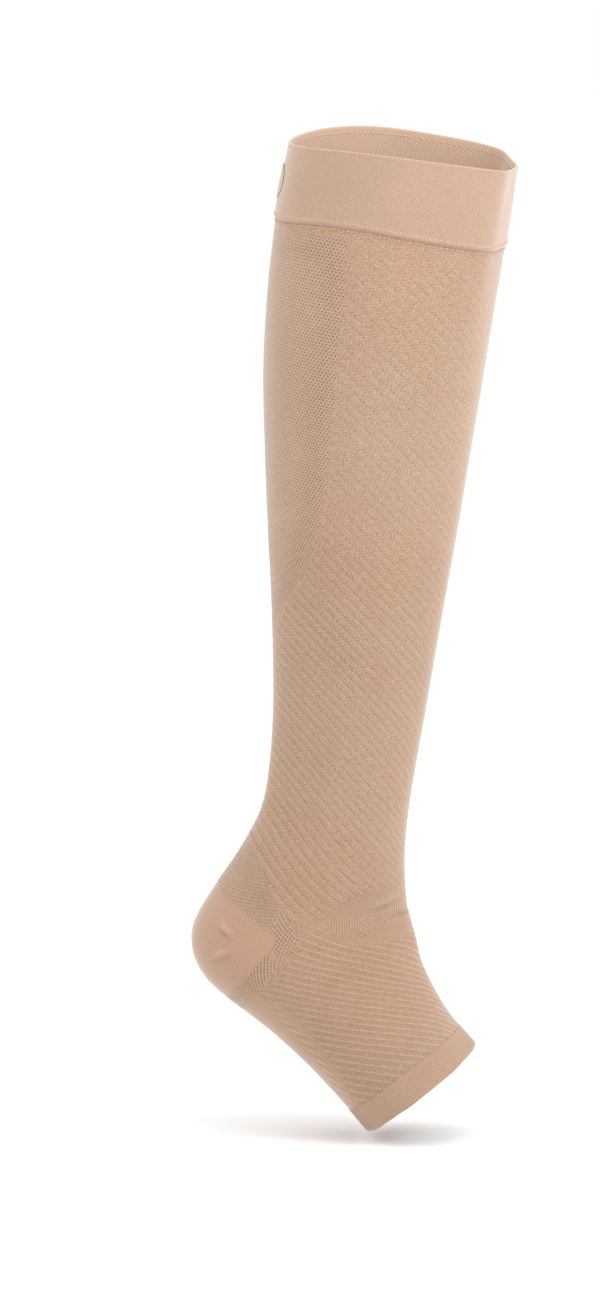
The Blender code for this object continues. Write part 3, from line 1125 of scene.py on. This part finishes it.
@dataclass(frozen=True)
class PatchFinish(Finish):
    """The blank oval patch: soft cream film with painted shade along the pressed line inside its
    rim.
    """

    cream: Colour = (0.56, 0.46, 0.335)
    # the colour of the painted shade in the pressed line
    line: Colour = (0.46, 0.365, 0.255)

    def draw(self, shade: Shade) -> None:
        """Sets the surface."""
        rim = shade.attribute("rim")
        # painted shade along the pressed line
        pressed = rim.step(0.70, 0.76) * (1 - rim.step(0.82, 0.88))
        cloud = shade.cloud(600.0)
        toned = shade.mix(self.cream, self.line, pressed * 0.6 + (cloud - 0.5) * 0.12)
        shade.set(
            Base_Color=toned,
            Roughness=0.5 + cloud * 0.12,
            Normal=shade.bump(cloud * 0.04 - pressed * 0.15),
            Specular_IOR_Level=0.4,
        )


@dataclass(frozen=True)
class FloorFinish(Finish):
    """Matte white studio floor with the faintest cloudiness."""

    name: str = "studio_floor"
    cool: Colour = (0.935, 0.95, 0.965)
    light: Colour = (0.95, 0.965, 0.98)

    def draw(self, shade: Shade) -> None:
        """Sets the surface."""
        cloud = shade.cloud(2.0)
        shade.set(
            Base_Color=shade.mix(self.cool, self.light, cloud),
            Roughness=0.9 + cloud * 0.05,
            Specular_IOR_Level=0.0,
        )


# --------------------------------------------------------------------------- cloth pieces


class Lip(Enum):
    """How a wall ends: rounded where it shows, or flat where the next piece carries on."""

    ROUND = 1
    JOINED = 2


@dataclass(frozen=True)
class Wall:
    """The section of a cloth wall, from its outer face round through its inner one.

    thick: the wall. rows, inner_rows: strips down the two faces. top, bottom: how it ends.
    crowd: above 1 the rows crowd to the bottom, below 1 to the top.
    """

    thick: float
    rows: int
    inner_rows: int
    top: Lip
    bottom: Lip
    crowd: float = 1.0

    LIP_STEPS = 6
    SETBACK = 0.35

    def section(self) -> np.ndarray:
        """The section's points.

        Returns:
            One row a point: its share of the way down, how much further down it lies, how far in
            it lies, and 1 where it belongs to the outer face.
        """
        half = self.thick / 2
        top = half if self.top is Lip.ROUND else 0.0
        bottom = half if self.bottom is Lip.ROUND else 0.0
        points = []
        for share in self._shares(self.rows):
            points.append((share, top * (1 - share) - bottom * share, 0.0, 1.0))
        points += self._lip(1.0, 1.0, self.bottom, half)
        top = half if self.top is Lip.ROUND else self.SETBACK
        bottom = half if self.bottom is Lip.ROUND else self.SETBACK
        for share in self._shares(self.inner_rows)[::-1]:
            points.append((share, top * (1 - share) - bottom * share, self.thick, 0.0))
        points += self._lip(0.0, -1.0, self.top, half)
        points.append(points[0])
        return np.array(points)

    def _shares(self, rows: int) -> np.ndarray:
        """Where the rows lie, from 0 at the top to 1 at the bottom."""
        even = np.linspace(0, 1, rows + 1)
        return 1 - (1 - even) ** self.crowd if self.crowd >= 1 else even ** (1 / self.crowd)

    def _lip(
        self, share: float, way: float, lip: Lip, half: float
    ) -> list[tuple[float, float, float, float]]:
        """The points of a rounded end, from the outer face to the inner one or back."""
        if lip is Lip.JOINED:
            return []
        points = []
        for step in range(1, self.LIP_STEPS):
            turn = math.pi * step / self.LIP_STEPS
            inset = half * (1 - math.cos(turn) * way)
            points.append((share, way * half * (math.sin(turn) - 1), inset, 0.0))
        return points


# columns of a sheet from the front centre line to a heel tip, and from there to the back one
FRONT_COLUMNS = 110
BACK_COLUMNS = 50
# half the gap between one piece's edge and the next one's
HALF_GAP = 0.05
# the empty margin round a sheet on the chart that a bake uses
SHEET_MARGIN = 0.002


def spread(start: float, end: float, count: int) -> np.ndarray:
    """Even angles from start to end, without the end."""
    return np.linspace(start, end, count, endpoint=False)


def tube_columns() -> np.ndarray:
    """Angles from 2 pi down to 0, denser over the front, with a column on each heel tip.

    Returns:
        The angles, with the front centre line at both ends.
    """
    tip = math.radians(POCKET.tip_angle)
    parts = [
        spread(TAU, TAU - tip, FRONT_COLUMNS),
        spread(TAU - tip, math.pi, BACK_COLUMNS),
        spread(math.pi, tip, BACK_COLUMNS),
        spread(tip, 0, FRONT_COLUMNS),
        [0.0],
    ]
    return np.concatenate(parts)


def level(angle: np.ndarray, course: float, beyond: float = 0.0) -> np.ndarray:
    """A level edge that lies a little beyond a course, in millimetres down the tube."""
    return np.full_like(angle, TUBE.station(course) + beyond)


def deselect() -> None:
    """Leaves nothing selected, so that an operator acts on the new piece alone."""
    bpy.ops.object.select_all(action="DESELECT")


def ball(name: str, segments: int, rings: int) -> bpy.types.Object:
    """Adds a named ball of radius 1, alone in the selection."""
    deselect()
    bpy.ops.mesh.primitive_uv_sphere_add(segments=segments, ring_count=rings, radius=1.0)
    bpy.context.object.name = name
    return bpy.context.object


def repair(operator: Callable[..., set], **settings: Union[bool, float]) -> None:
    """Runs a mesh operator on the whole of the selected piece, and then smooths its shading."""
    bpy.ops.object.mode_set(mode="EDIT")
    bpy.ops.mesh.select_all(action="SELECT")
    operator(**settings)
    bpy.ops.object.mode_set(mode="OBJECT")
    bpy.ops.object.shade_smooth()


def places(mesh: bpy.types.Mesh) -> np.ndarray:
    """The mesh's points, one a row."""
    flat = np.empty(len(mesh.vertices) * 3)
    mesh.vertices.foreach_get("co", flat)
    return flat.reshape(-1, 3)


def write_mark(mesh: bpy.types.Mesh, name: str, values: np.ndarray) -> None:
    """Writes a number on each point, for the finish to read."""
    mark = mesh.attributes.new(name, "FLOAT", "POINT")
    mark.data.foreach_set("value", values.astype(np.float32))


class Cloth:
    """A closed cloth wall wrapped onto the tube. Each piece of the stocking is one of these."""

    name = "cloth"
    node = ""
    slot = ""
    proud = 0.0
    wall = Wall(1.2, 10, 4, Lip.JOINED, Lip.JOINED)
    flat = (0.2, 0.2)
    flat_area: Optional[float] = None

    # how far round the slope is taken for the shading, how close points are joined (in metres),
    # and how many rows along an edge that shows keep the mesh's own shading
    FINE_TURN = 0.004
    WELD = 1e-6
    EDGE_ROWS = 2.5

    def columns(self) -> np.ndarray:
        """The angles of the sheet's columns."""
        return tube_columns()

    def top(self, angle: np.ndarray) -> np.ndarray:
        """Length down to the upper edge."""
        raise NotImplementedError

    def bottom(self, angle: np.ndarray) -> np.ndarray:
        """Length down to the lower edge."""
        raise NotImplementedError

    def relief(self, angle: Numbers, down: Numbers) -> np.ndarray:
        """How far the outer face stands off the even tube, beyond proud."""
        return cloth_relief(angle, down)

    def marks(self, angle: np.ndarray, down: np.ndarray) -> dict[str, np.ndarray]:
        """The attributes that the finish reads."""
        return {
            "net": AREAS.net(angle, down),
            "ribbed": AREAS.ribbed(angle, down),
            "ankle": AREAS.ankle(angle, down),
            "sole": AREAS.sole(angle, down),
            "rib_count": RIBS.count(angle, down),
            # the creases' lift, which the finishes paint as shade in troughs and highlight on ridges
            "fold": creased(angle, down),
        }

    def face(self, angle: Numbers, down: Numbers) -> np.ndarray:
        """Points of the outer face."""
        lift = self.proud + self.relief(angle, down)
        return TUBE.knit(angle, down) + TUBE.outward(angle, down) * lift[..., None]

    def build(self) -> bpy.types.Object:
        """Wraps a grid onto the tube, closes its seam and writes what the finish needs.

        Returns:
            The piece.
        """
        angles, section = self.columns(), self.wall.section()
        across, around = len(angles) - 1, len(section) - 1
        deselect()
        bpy.ops.mesh.primitive_grid_add(x_subdivisions=across, y_subdivisions=around, size=2)
        piece = bpy.context.object
        piece.name = self.name
        mesh = piece.data
        mesh.name = self.name
        flat = places(mesh)
        column = np.rint((flat[:, 0] + 1) * across / 2).astype(int)
        row = np.rint((flat[:, 1] + 1) * around / 2).astype(int)

        angle = angles[column]
        share, shift, inset, outer = section[row].T
        top, bottom = self.top(angle), self.bottom(angle)
        span = bottom - top
        down = top + span * share + shift * np.clip(span / 3, 0, 1)
        normal = TUBE.outward(angle, down)
        points = self.face(angle, down) - normal * inset[:, None]
        mesh.vertices.foreach_set("co", (points * MM).ravel())

        self._write_charts(mesh, angle, down, column / across, row / around)
        marks = {**self.marks(angle, down), "inner": np.clip(inset / self.wall.thick, 0, 1)}
        for name, values in marks.items():
            write_mark(mesh, name, values)
        smooth_face = normals_of(self.face, angle, down, self.FINE_TURN) * self._joined(share, outer)
        mark = mesh.attributes.new("smooth_face", "FLOAT_VECTOR", "POINT")
        mark.data.foreach_set("vector", smooth_face.astype(np.float32).ravel())

        repair(bpy.ops.mesh.remove_doubles, threshold=self.WELD)
        self._smooth_joints(mesh)
        return piece

    def _joined(self, share: np.ndarray, outer: np.ndarray) -> np.ndarray:
        """1 where the outer face keeps its own normals, 0 near an edge that shows."""
        keep = outer.copy()
        if self.wall.top is Lip.ROUND:
            keep[share < self.EDGE_ROWS / self.wall.rows] = 0.0
        if self.wall.bottom is Lip.ROUND:
            keep[share > 1 - self.EDGE_ROWS / self.wall.rows] = 0.0
        return keep[:, None]

    def _write_charts(
        self,
        mesh: bpy.types.Mesh,
        angle: np.ndarray,
        down: np.ndarray,
        across: np.ndarray,
        around: np.ndarray,
    ) -> None:
        """Writes the stitch chart and the plain chart that a bake uses.

        Args:
            mesh: the sheet, still open along its seam.
            angle: each point's angle.
            down: each point's length down the tube.
            across: each point's share of the columns.
            around: each point's share of the section.
        """
        corners = np.empty(len(mesh.loops), dtype=np.int32)
        mesh.loops.foreach_get("vertex_index", corners)
        stitches = np.stack([TUBE.wales(angle, down), down / COURSE_HEIGHT], axis=1)
        plain = np.stack([across, around], axis=1) * (1 - 2 * SHEET_MARGIN) + SHEET_MARGIN
        while mesh.uv_layers:
            mesh.uv_layers.remove(mesh.uv_layers[0])
        for name, chart in ((BAKE_CHART, plain), (STITCH_CHART, stitches)):
            layer = mesh.uv_layers.new(name=name)
            layer.data.foreach_set("uv", chart[corners].astype(np.float32).ravel())

    @staticmethod
    def _smooth_joints(mesh: bpy.types.Mesh) -> None:
        """Gives the outer face its own normals, so that joined pieces read as one cloth."""
        mark = mesh.attributes["smooth_face"]
        normals = np.empty(len(mesh.vertices) * 3, dtype=np.float32)
        mark.data.foreach_get("vector", normals)
        mesh.attributes.remove(mark)
        mesh.normals_split_custom_set_from_vertices(normals.reshape(-1, 3).tolist())

    def declare(self, piece: bpy.types.Object, extras: Sequence[bpy.types.Object] = ()) -> None:
        """Attaches the piece to the root and hides the part of model.glb that it stands for."""
        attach(piece, "root")
        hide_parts(self.node)


class TopBand(Cloth):
    """The doubled welt below the knee, with a rolled rim and a raised lower edge."""

    name = "top_band_cloth"
    node = "top_band"
    slot = "top_band_knit"
    proud = 0.8
    wall = Wall(1.5, 84, 26, Lip.ROUND, Lip.JOINED)
    flat = (0.270, 0.040)
    around = 420
    rim_width = 1.6
    rim_height = 0.14
    ridge_up = 1.6
    ridge_width = 1.1
    ridge_height = 0.24
    wave_height = 0.12
    tuck_up = 1.7

    def columns(self) -> np.ndarray:
        """Even angles, about one column for each stitch."""
        return np.linspace(TAU, 0, self.around + 1)

    def top(self, angle: np.ndarray) -> np.ndarray:
        """The mouth."""
        return np.zeros_like(angle)

    def bottom(self, angle: np.ndarray) -> np.ndarray:
        """The band's lower edge."""
        return level(angle, BAND_EDGE_COURSE, -HALF_GAP)

    def relief(self, angle: Numbers, down: Numbers) -> np.ndarray:
        """The rim, the ridge above the lower edge and a slight waviness."""
        edge = TUBE.station(BAND_EDGE_COURSE)
        rim = self.rim_height * hill(down - self.rim_width / 2, self.rim_width)
        ridge = self.ridge_height * hill(down - edge + self.ridge_up, self.ridge_width)
        wave = self.wave_height * np.sin(5 * np.asarray(angle) + down / 9) * smooth(down, 3, 14)
        tucked = self.proud * smooth(down, edge - self.tuck_up, edge)
        return rim + ridge + wave * (1 - smooth(down, 26, 34)) - tucked

    def marks(self, angle: np.ndarray, down: np.ndarray) -> dict[str, np.ndarray]:
        """How close the cloth is to its lower edge."""
        edge = TUBE.station(BAND_EDGE_COURSE)
        return {"seam": smooth(down, edge - 1.2, edge - 0.4)}


class Leg(Cloth):
    """The single knit from the top band to the ankle and the heel pocket."""

    name = "leg_cloth"
    node = "leg"
    slot = "leg_knit"
    wall = Wall(1.2, 244, 50, Lip.JOINED, Lip.JOINED, crowd=1.35)
    flat = (0.245, 0.300)
    flat_area = 0.060

    def top(self, angle: np.ndarray) -> np.ndarray:
        """Just below the top band."""
        return level(angle, BAND_EDGE_COURSE, HALF_GAP)

    def bottom(self, angle: np.ndarray) -> np.ndarray:
        """The ankle course, then up along the heel pocket."""
        return POCKET.upper_edge(angle)


class Foot(Cloth):
    """The single knit from the ankle and the heel pocket to the toe band."""

    name = "foot_cloth"
    node = "foot"
    slot = "leg_knit"
    wall = Wall(1.2, 150, 36, Lip.JOINED, Lip.JOINED, crowd=0.75)
    flat = (0.180, 0.095)
    flat_area = 0.0125

    def top(self, angle: np.ndarray) -> np.ndarray:
        """The ankle course, then down along the heel pocket."""
        return POCKET.lower_edge(angle)

    def bottom(self, angle: np.ndarray) -> np.ndarray:
        """The toe seam."""
        return level(angle, TOE_SEAM_COURSE, -HALF_GAP)


class HeelPocket(Cloth):
    """The short-row pocket: a sheet that narrows to a tip on each side."""

    name = "heel_pocket_cloth"
    node = "heel_pocket"
    slot = "heel_knit"
    wall = Wall(1.4, 88, 30, Lip.JOINED, Lip.JOINED)
    flat = (0.100, 0.050)
    flat_area = 0.0033

    def columns(self) -> np.ndarray:
        """The leg's own columns between the two tips."""
        return tube_columns()[FRONT_COLUMNS:-FRONT_COLUMNS]

    def top(self, angle: np.ndarray) -> np.ndarray:
        """Where the pocket meets the leg."""
        return POCKET.upper_edge(angle)

    def bottom(self, angle: np.ndarray) -> np.ndarray:
        """Where the pocket meets the foot."""
        return POCKET.lower_edge(angle)

    def marks(self, angle: np.ndarray, down: np.ndarray) -> dict[str, np.ndarray]:
        """How close the cloth is to the gores, and the creases' lift for their painted shade and
        highlight.
        """
        inside = np.minimum(down - self.top(angle), self.bottom(angle) - down)
        return {"seam": 1 - smooth(inside, 0.2, 1.4), "fold": creased(angle, down)}


class ToeBand(Cloth):
    """The doubled, ribbed hem round the open toe."""

    name = "toe_band_cloth"
    node = "toe_band"
    slot = "toe_band_knit"
    proud = 0.2
    wall = Wall(1.6, 20, 8, Lip.JOINED, Lip.ROUND)
    flat = (0.175, 0.015)
    ribs = WALES // 2
    steps = 6
    rib_height = 0.26
    rib_roundness = 0.8
    rib_base = 0.6
    rim_up = 0.3
    slow_wave = 0.24
    fast_wave = 0.06

    def columns(self) -> np.ndarray:
        """A few columns for each rib."""
        return np.linspace(TAU, 0, self.ribs * self.steps + 1)

    def top(self, angle: np.ndarray) -> np.ndarray:
        """The toe seam."""
        return level(angle, TOE_SEAM_COURSE, HALF_GAP)

    def bottom(self, angle: np.ndarray) -> np.ndarray:
        """The open toe, not quite even."""
        slow = self.slow_wave * np.sin(7 * angle + 0.6) * np.sin(2 * angle - 0.4)
        uneven = slow + self.fast_wave * np.sin(17 * angle)
        return TUBE.station(TOE_COURSE) - self.rim_up + uneven

    def relief(self, angle: Numbers, down: Numbers) -> np.ndarray:
        """Ribs that run down the tube and flatten at both edges."""
        top, bottom = TUBE.station(TOE_SEAM_COURSE), TUBE.station(TOE_COURSE)
        slant = TOE_SLANT * (down - top) / COURSE_HEIGHT
        count = (np.abs(TUBE.wales(angle, down)) + slant) * (self.ribs / WALES)
        fade = smooth(down, top, top + 1.2) * (1 - smooth(down, bottom - 1.6, bottom - 0.4))
        rounded = np.abs(np.cos(math.pi * count)) ** self.rib_roundness
        ribs = self.rib_height * (rounded - self.rib_base) * fade
        return ribs - self.proud * (1 - smooth(down, top, top + 1.0))

    def marks(self, angle: np.ndarray, down: np.ndarray) -> dict[str, np.ndarray]:
        """How close the cloth is to the toe seam."""
        top = TUBE.station(TOE_SEAM_COURSE)
        return {"seam": 1 - smooth(down, top + 0.2, top + 1.0)}


# --------------------------------------------------------------------------- small pieces


# the empty margin round each stitch on the chart that a bake uses
CHART_MARGIN = 0.04


@dataclass(frozen=True)
class StitchRow:
    """A row of equal small stitches round a cloth piece, joined into one mesh.

    down: where the row lies. count: stitches in a full turn. long, wide, thick: a stitch's half
    sizes round the tube, down it and off the cloth. lean: degrees that it turns. inset: how far
    in from the outer face it lies.
    """

    name: str
    slot: str
    down: float
    count: int
    long: float
    wide: float
    thick: float
    lean: float = 0.0
    inset: float = 0.0
    segments: int = 8
    rings: int = 5

    def build(self, cloth: Cloth) -> bpy.types.Object:
        """Makes one stitch and copies it round the cloth.

        Args:
            cloth: the piece that the row lies on.

        Returns:
            The joined row.
        """
        piece = ball(self.name, self.segments, self.rings)
        stitch = piece.data
        shape = np.array([vertex.co[:] for vertex in stitch.vertices])
        faces = [tuple(face.vertices) for face in stitch.polygons]
        chart = np.array([loop.uv[:] for loop in stitch.uv_layers[0].data])

        angle = (np.arange(self.count) + 0.5) * TAU / self.count
        down = np.full_like(angle, self.down)
        out = normals_of(cloth.face, angle, down)
        fall = cloth.face(angle, down + SLOPE_DROP) - cloth.face(angle, down - SLOPE_DROP)
        fall /= np.linalg.norm(fall, axis=1, keepdims=True)
        along = np.cross(fall, out)
        centre = cloth.face(angle, down) - out * self.inset

        lean = math.radians(self.lean)
        x = shape[:, 0] * self.long
        y = shape[:, 1] * self.wide
        turned_x = x * math.cos(lean) - y * math.sin(lean)
        turned_y = x * math.sin(lean) + y * math.cos(lean)
        points = centre[:, None] + along[:, None] * turned_x[None, :, None]
        points = points + fall[:, None] * turned_y[None, :, None]
        points = points + out[:, None] * (shape[:, 2] * self.thick)[None, :, None]

        mesh = bpy.data.meshes.new(self.name)
        size = len(shape)
        all_faces = [[i + size * copy for i in f] for copy in range(self.count) for f in faces]
        mesh.from_pydata((points.reshape(-1, 3) * MM).tolist(), [], all_faces)
        cells = math.ceil(math.sqrt(self.count))
        layer = mesh.uv_layers.new(name=BAKE_CHART)
        corner = np.stack([np.arange(self.count) % cells, np.arange(self.count) // cells], axis=1)
        charts = (corner[:, None] + CHART_MARGIN + chart[None] * (1 - 2 * CHART_MARGIN)) / cells
        layer.data.foreach_set("uv", charts.astype(np.float32).ravel())
        mesh.shade_smooth()
        piece.data = mesh
        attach(piece, "root")
        return piece


@dataclass(frozen=True)
class BackLabel:
    """The blank oval patch on the back of the top band.

    down: where its middle lies. gap: between it and the band. line_at, line_width, line_depth: the
    pressed line, as shares of the way out to the rim and of half the thickness.
    """

    name: str = "back_label_patch"
    width: float = 22.0
    height: float = 18.0
    thick: float = 0.5
    down: float = 19.5
    gap: float = 0.05
    line_at: float = 0.79
    line_width: float = 0.05
    line_depth: float = 0.16
    segments: int = 96
    rings: int = 48

    def build(self, band: TopBand) -> bpy.types.Object:
        """Flattens a ball onto the back of the band, with a pressed line inside its rim.

        Args:
            band: the band that it lies on.

        Returns:
            The patch.
        """
        piece = ball(self.name, self.segments, self.rings)
        mesh = piece.data
        round_points = places(mesh)
        radius = np.hypot(round_points[:, 0], round_points[:, 1])
        rim = np.arcsin(np.clip(radius, 0, 1)) / (math.pi / 2)
        spread_out = np.where(radius > 1e-6, rim / np.maximum(radius, 1e-6), 0)
        across, drop = round_points[:, 0] * spread_out, round_points[:, 1] * spread_out
        body = np.sign(round_points[:, 2]) * (1 - rim**8) ** 0.5
        pressed = self.line_depth * hill(rim - self.line_at, self.line_width) * (body > 0)
        thickness = self.thick / 2 * (body - pressed)

        girth = TUBE.along("width", self.down) * (1 - TUBE.along("egg", self.down))
        half_turn = math.asin(self.width / (girth + 2 * (band.proud + self.gap + self.thick)))
        angle = math.pi - across * half_turn
        down = self.down + drop * self.height / 2
        proud = band.proud + self.gap + self.thick / 2 + thickness
        points = TUBE.knit(angle, down) + TUBE.outward(angle, down) * proud[:, None]
        mesh.vertices.foreach_set("co", (points * MM).ravel())
        write_mark(mesh, "rim", rim)
        repair(bpy.ops.mesh.normals_make_consistent, inside=False)
        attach(piece, "root")
        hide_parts("back_label")
        return piece


# --------------------------------------------------------------------------- the studio


WHITE = (1.0, 1.0, 1.0)
WARM_WHITE = (1.0, 0.98, 0.95)


@dataclass(frozen=True)
class Lamp:
    """A soft square light. place, aim and size are in metres."""

    name: str
    place: tuple[float, float, float]
    aim: tuple[float, float, float]
    size: float
    watts: float
    colour: Colour

    def add(self) -> None:
        """Adds the light, turned to its aim."""
        deselect()
        bpy.ops.object.light_add(type="AREA", location=self.place)
        lamp = bpy.context.object
        lamp.name = self.name
        lamp.data.size = self.size
        lamp.data.energy = self.watts
        lamp.data.color = self.colour
        lamp.rotation_euler = facing(self.place, self.aim)


def facing(place: Sequence[float], aim: Sequence[float]) -> tuple[float, float, float]:
    """The turn that points a lamp or a camera from place to aim."""
    dx, dy, dz = (a - p for a, p in zip(aim, place))
    return (math.pi / 2 + math.atan2(dz, math.hypot(dx, dy)), 0.0, math.atan2(dy, dx) - math.pi / 2)


@dataclass(frozen=True)
class Studio:
    """The pale floor, the soft light and the camera."""

    floor_size: float = 60.0
    floor_gap: float = 0.003
    sky: float = 1.06
    aim: tuple[float, float, float] = (-0.0471, 0.0, -0.2239)
    elevation: float = 9.2
    distance: float = 12.0
    lens: float = 679.2
    sensor: float = 36.0
    lamps: tuple[Lamp, ...] = (
        Lamp("key", (0.95, -0.60, 0.60), (0.0, 0.0, 0.0), 0.7, 7.0, WHITE),
        Lamp("top_front", (0.10, -0.60, 0.80), (0.0, 0.0, 0.0), 0.6, 2.8, WHITE),
        Lamp("left_rim", (-1.0, 0.30, 0.10), (-0.05, 0.0, -0.1), 0.6, 1.3, WARM_WHITE),
        Lamp("right_rim", (0.95, 0.60, 0.25), (-0.03, 0.0, -0.1), 0.7, 1.3, WARM_WHITE),
    )

    def build(self) -> None:
        """Sets up everything round the stocking."""
        self._floor()
        self._sky()
        for lamp in self.lamps:
            lamp.add()
        self._camera()
        bpy.context.scene.view_settings.view_transform = "Standard"

    def _floor(self) -> None:
        """A large flat floor just under the toe."""
        low = min(CAD_BOX[0][2], CAD_BOX[1][2]) - self.floor_gap
        deselect()
        bpy.ops.mesh.primitive_plane_add(size=self.floor_size, location=(0, 0, low))
        floor = bpy.context.object
        floor.name = "floor"
        bpy.ops.object.transform_apply(location=True, rotation=True, scale=True)
        floor.data.materials.append(FloorFinish().material())

    def _sky(self) -> None:
        """Even white light from all round."""
        world = bpy.data.worlds.new("studio_light")
        world.use_nodes = True
        background = world.node_tree.nodes["Background"]
        background.inputs["Color"].default_value = (*WHITE, 1.0)
        background.inputs["Strength"].default_value = self.sky
        bpy.context.scene.world = world

    def _camera(self) -> None:
        """A long lens from the wearer's right, a little above the middle."""
        rise = math.radians(self.elevation)
        x, y, z = self.aim
        place = (x, y - self.distance * math.cos(rise), z + self.distance * math.sin(rise))
        deselect()
        bpy.ops.object.camera_add(location=place, rotation=facing(place, self.aim))
        camera = bpy.context.object
        camera.data.sensor_fit = "VERTICAL"
        camera.data.sensor_height = self.sensor
        camera.data.lens = self.lens
        camera.data.clip_end = 100.0
        bpy.context.scene.camera = camera


# --------------------------------------------------------------------------- everything together


def stitched(row: StitchRow, cloth: Cloth, yarn: Yarn, pale: float = 0.0) -> bpy.types.Object:
    """Builds a row of stitches on a cloth piece and gives it its finish."""
    piece = row.build(cloth)
    piece.data.materials.append(ThreadFinish(row.name, yarn, pale).material())
    LOG.info("%s: %d stitches", row.name, row.count)
    return piece


def band_rows(band: TopBand) -> list[bpy.types.Object]:
    """The dots above the top band's lower edge, and the stitches inside its rim."""
    edge = TUBE.station(BAND_EDGE_COURSE)
    dots = StitchRow(
        "band_dots", band.slot, down=edge - 2.7, count=156, long=0.70, wide=0.44, thick=0.26
    )
    rim = StitchRow(
        "rim_stitches", band.slot, down=3.4, count=152, long=0.80, wide=0.52, thick=0.10, inset=1.52
    )
    # the stitches inside the rim take the inner face's painted light in full
    return [stitched(dots, band, BAND_YARN), stitched(rim, band, BAND_YARN, pale=1.0)]


def leg_rows(leg: Leg) -> list[bpy.types.Object]:
    """The short bright stitches just below the top band."""
    edge = TUBE.station(BAND_EDGE_COURSE)
    dashes = StitchRow(
        "band_dashes", leg.slot, down=edge + 1.0, count=152, long=0.80, wide=0.40, thick=0.34, lean=4
    )
    return [stitched(dashes, leg, BEIGE_YARN)]


def dressed(cloth: Cloth, material: bpy.types.Material) -> bpy.types.Object:
    """Builds a cloth piece and gives it its finish."""
    piece = cloth.build()
    piece.data.materials.append(material)
    LOG.info("%s: %d faces", piece.name, len(piece.data.polygons))
    return piece


def main() -> None:
    """Builds the studio and the stocking, piece by piece."""
    logging.basicConfig(level=logging.INFO)
    Studio().build()

    band = TopBand()
    band_piece = dressed(band, BandKnit("band_knit", BAND_YARN).material())
    label = BackLabel().build(band)
    label.data.materials.append(PatchFinish("patch_film").material())
    band.declare(band_piece, [*band_rows(band), label])

    leg = Leg()
    leg_piece = dressed(leg, PatternKnit("leg_knit_finish", BEIGE_YARN).material())
    leg.declare(leg_piece, leg_rows(leg))

    heel = HeelPocket()
    heel.declare(dressed(heel, HeelKnit("heel_knit_finish", ROSE_YARN).material()))

    foot = Foot()
    foot.declare(dressed(foot, PatternKnit("foot_knit_finish", BEIGE_YARN).material()))

    toe = ToeBand()
    toe.declare(dressed(toe, ToeKnit("toe_knit_finish", ROSE_YARN, toe.ribs).material()))


if __name__ == "__main__":
    main()
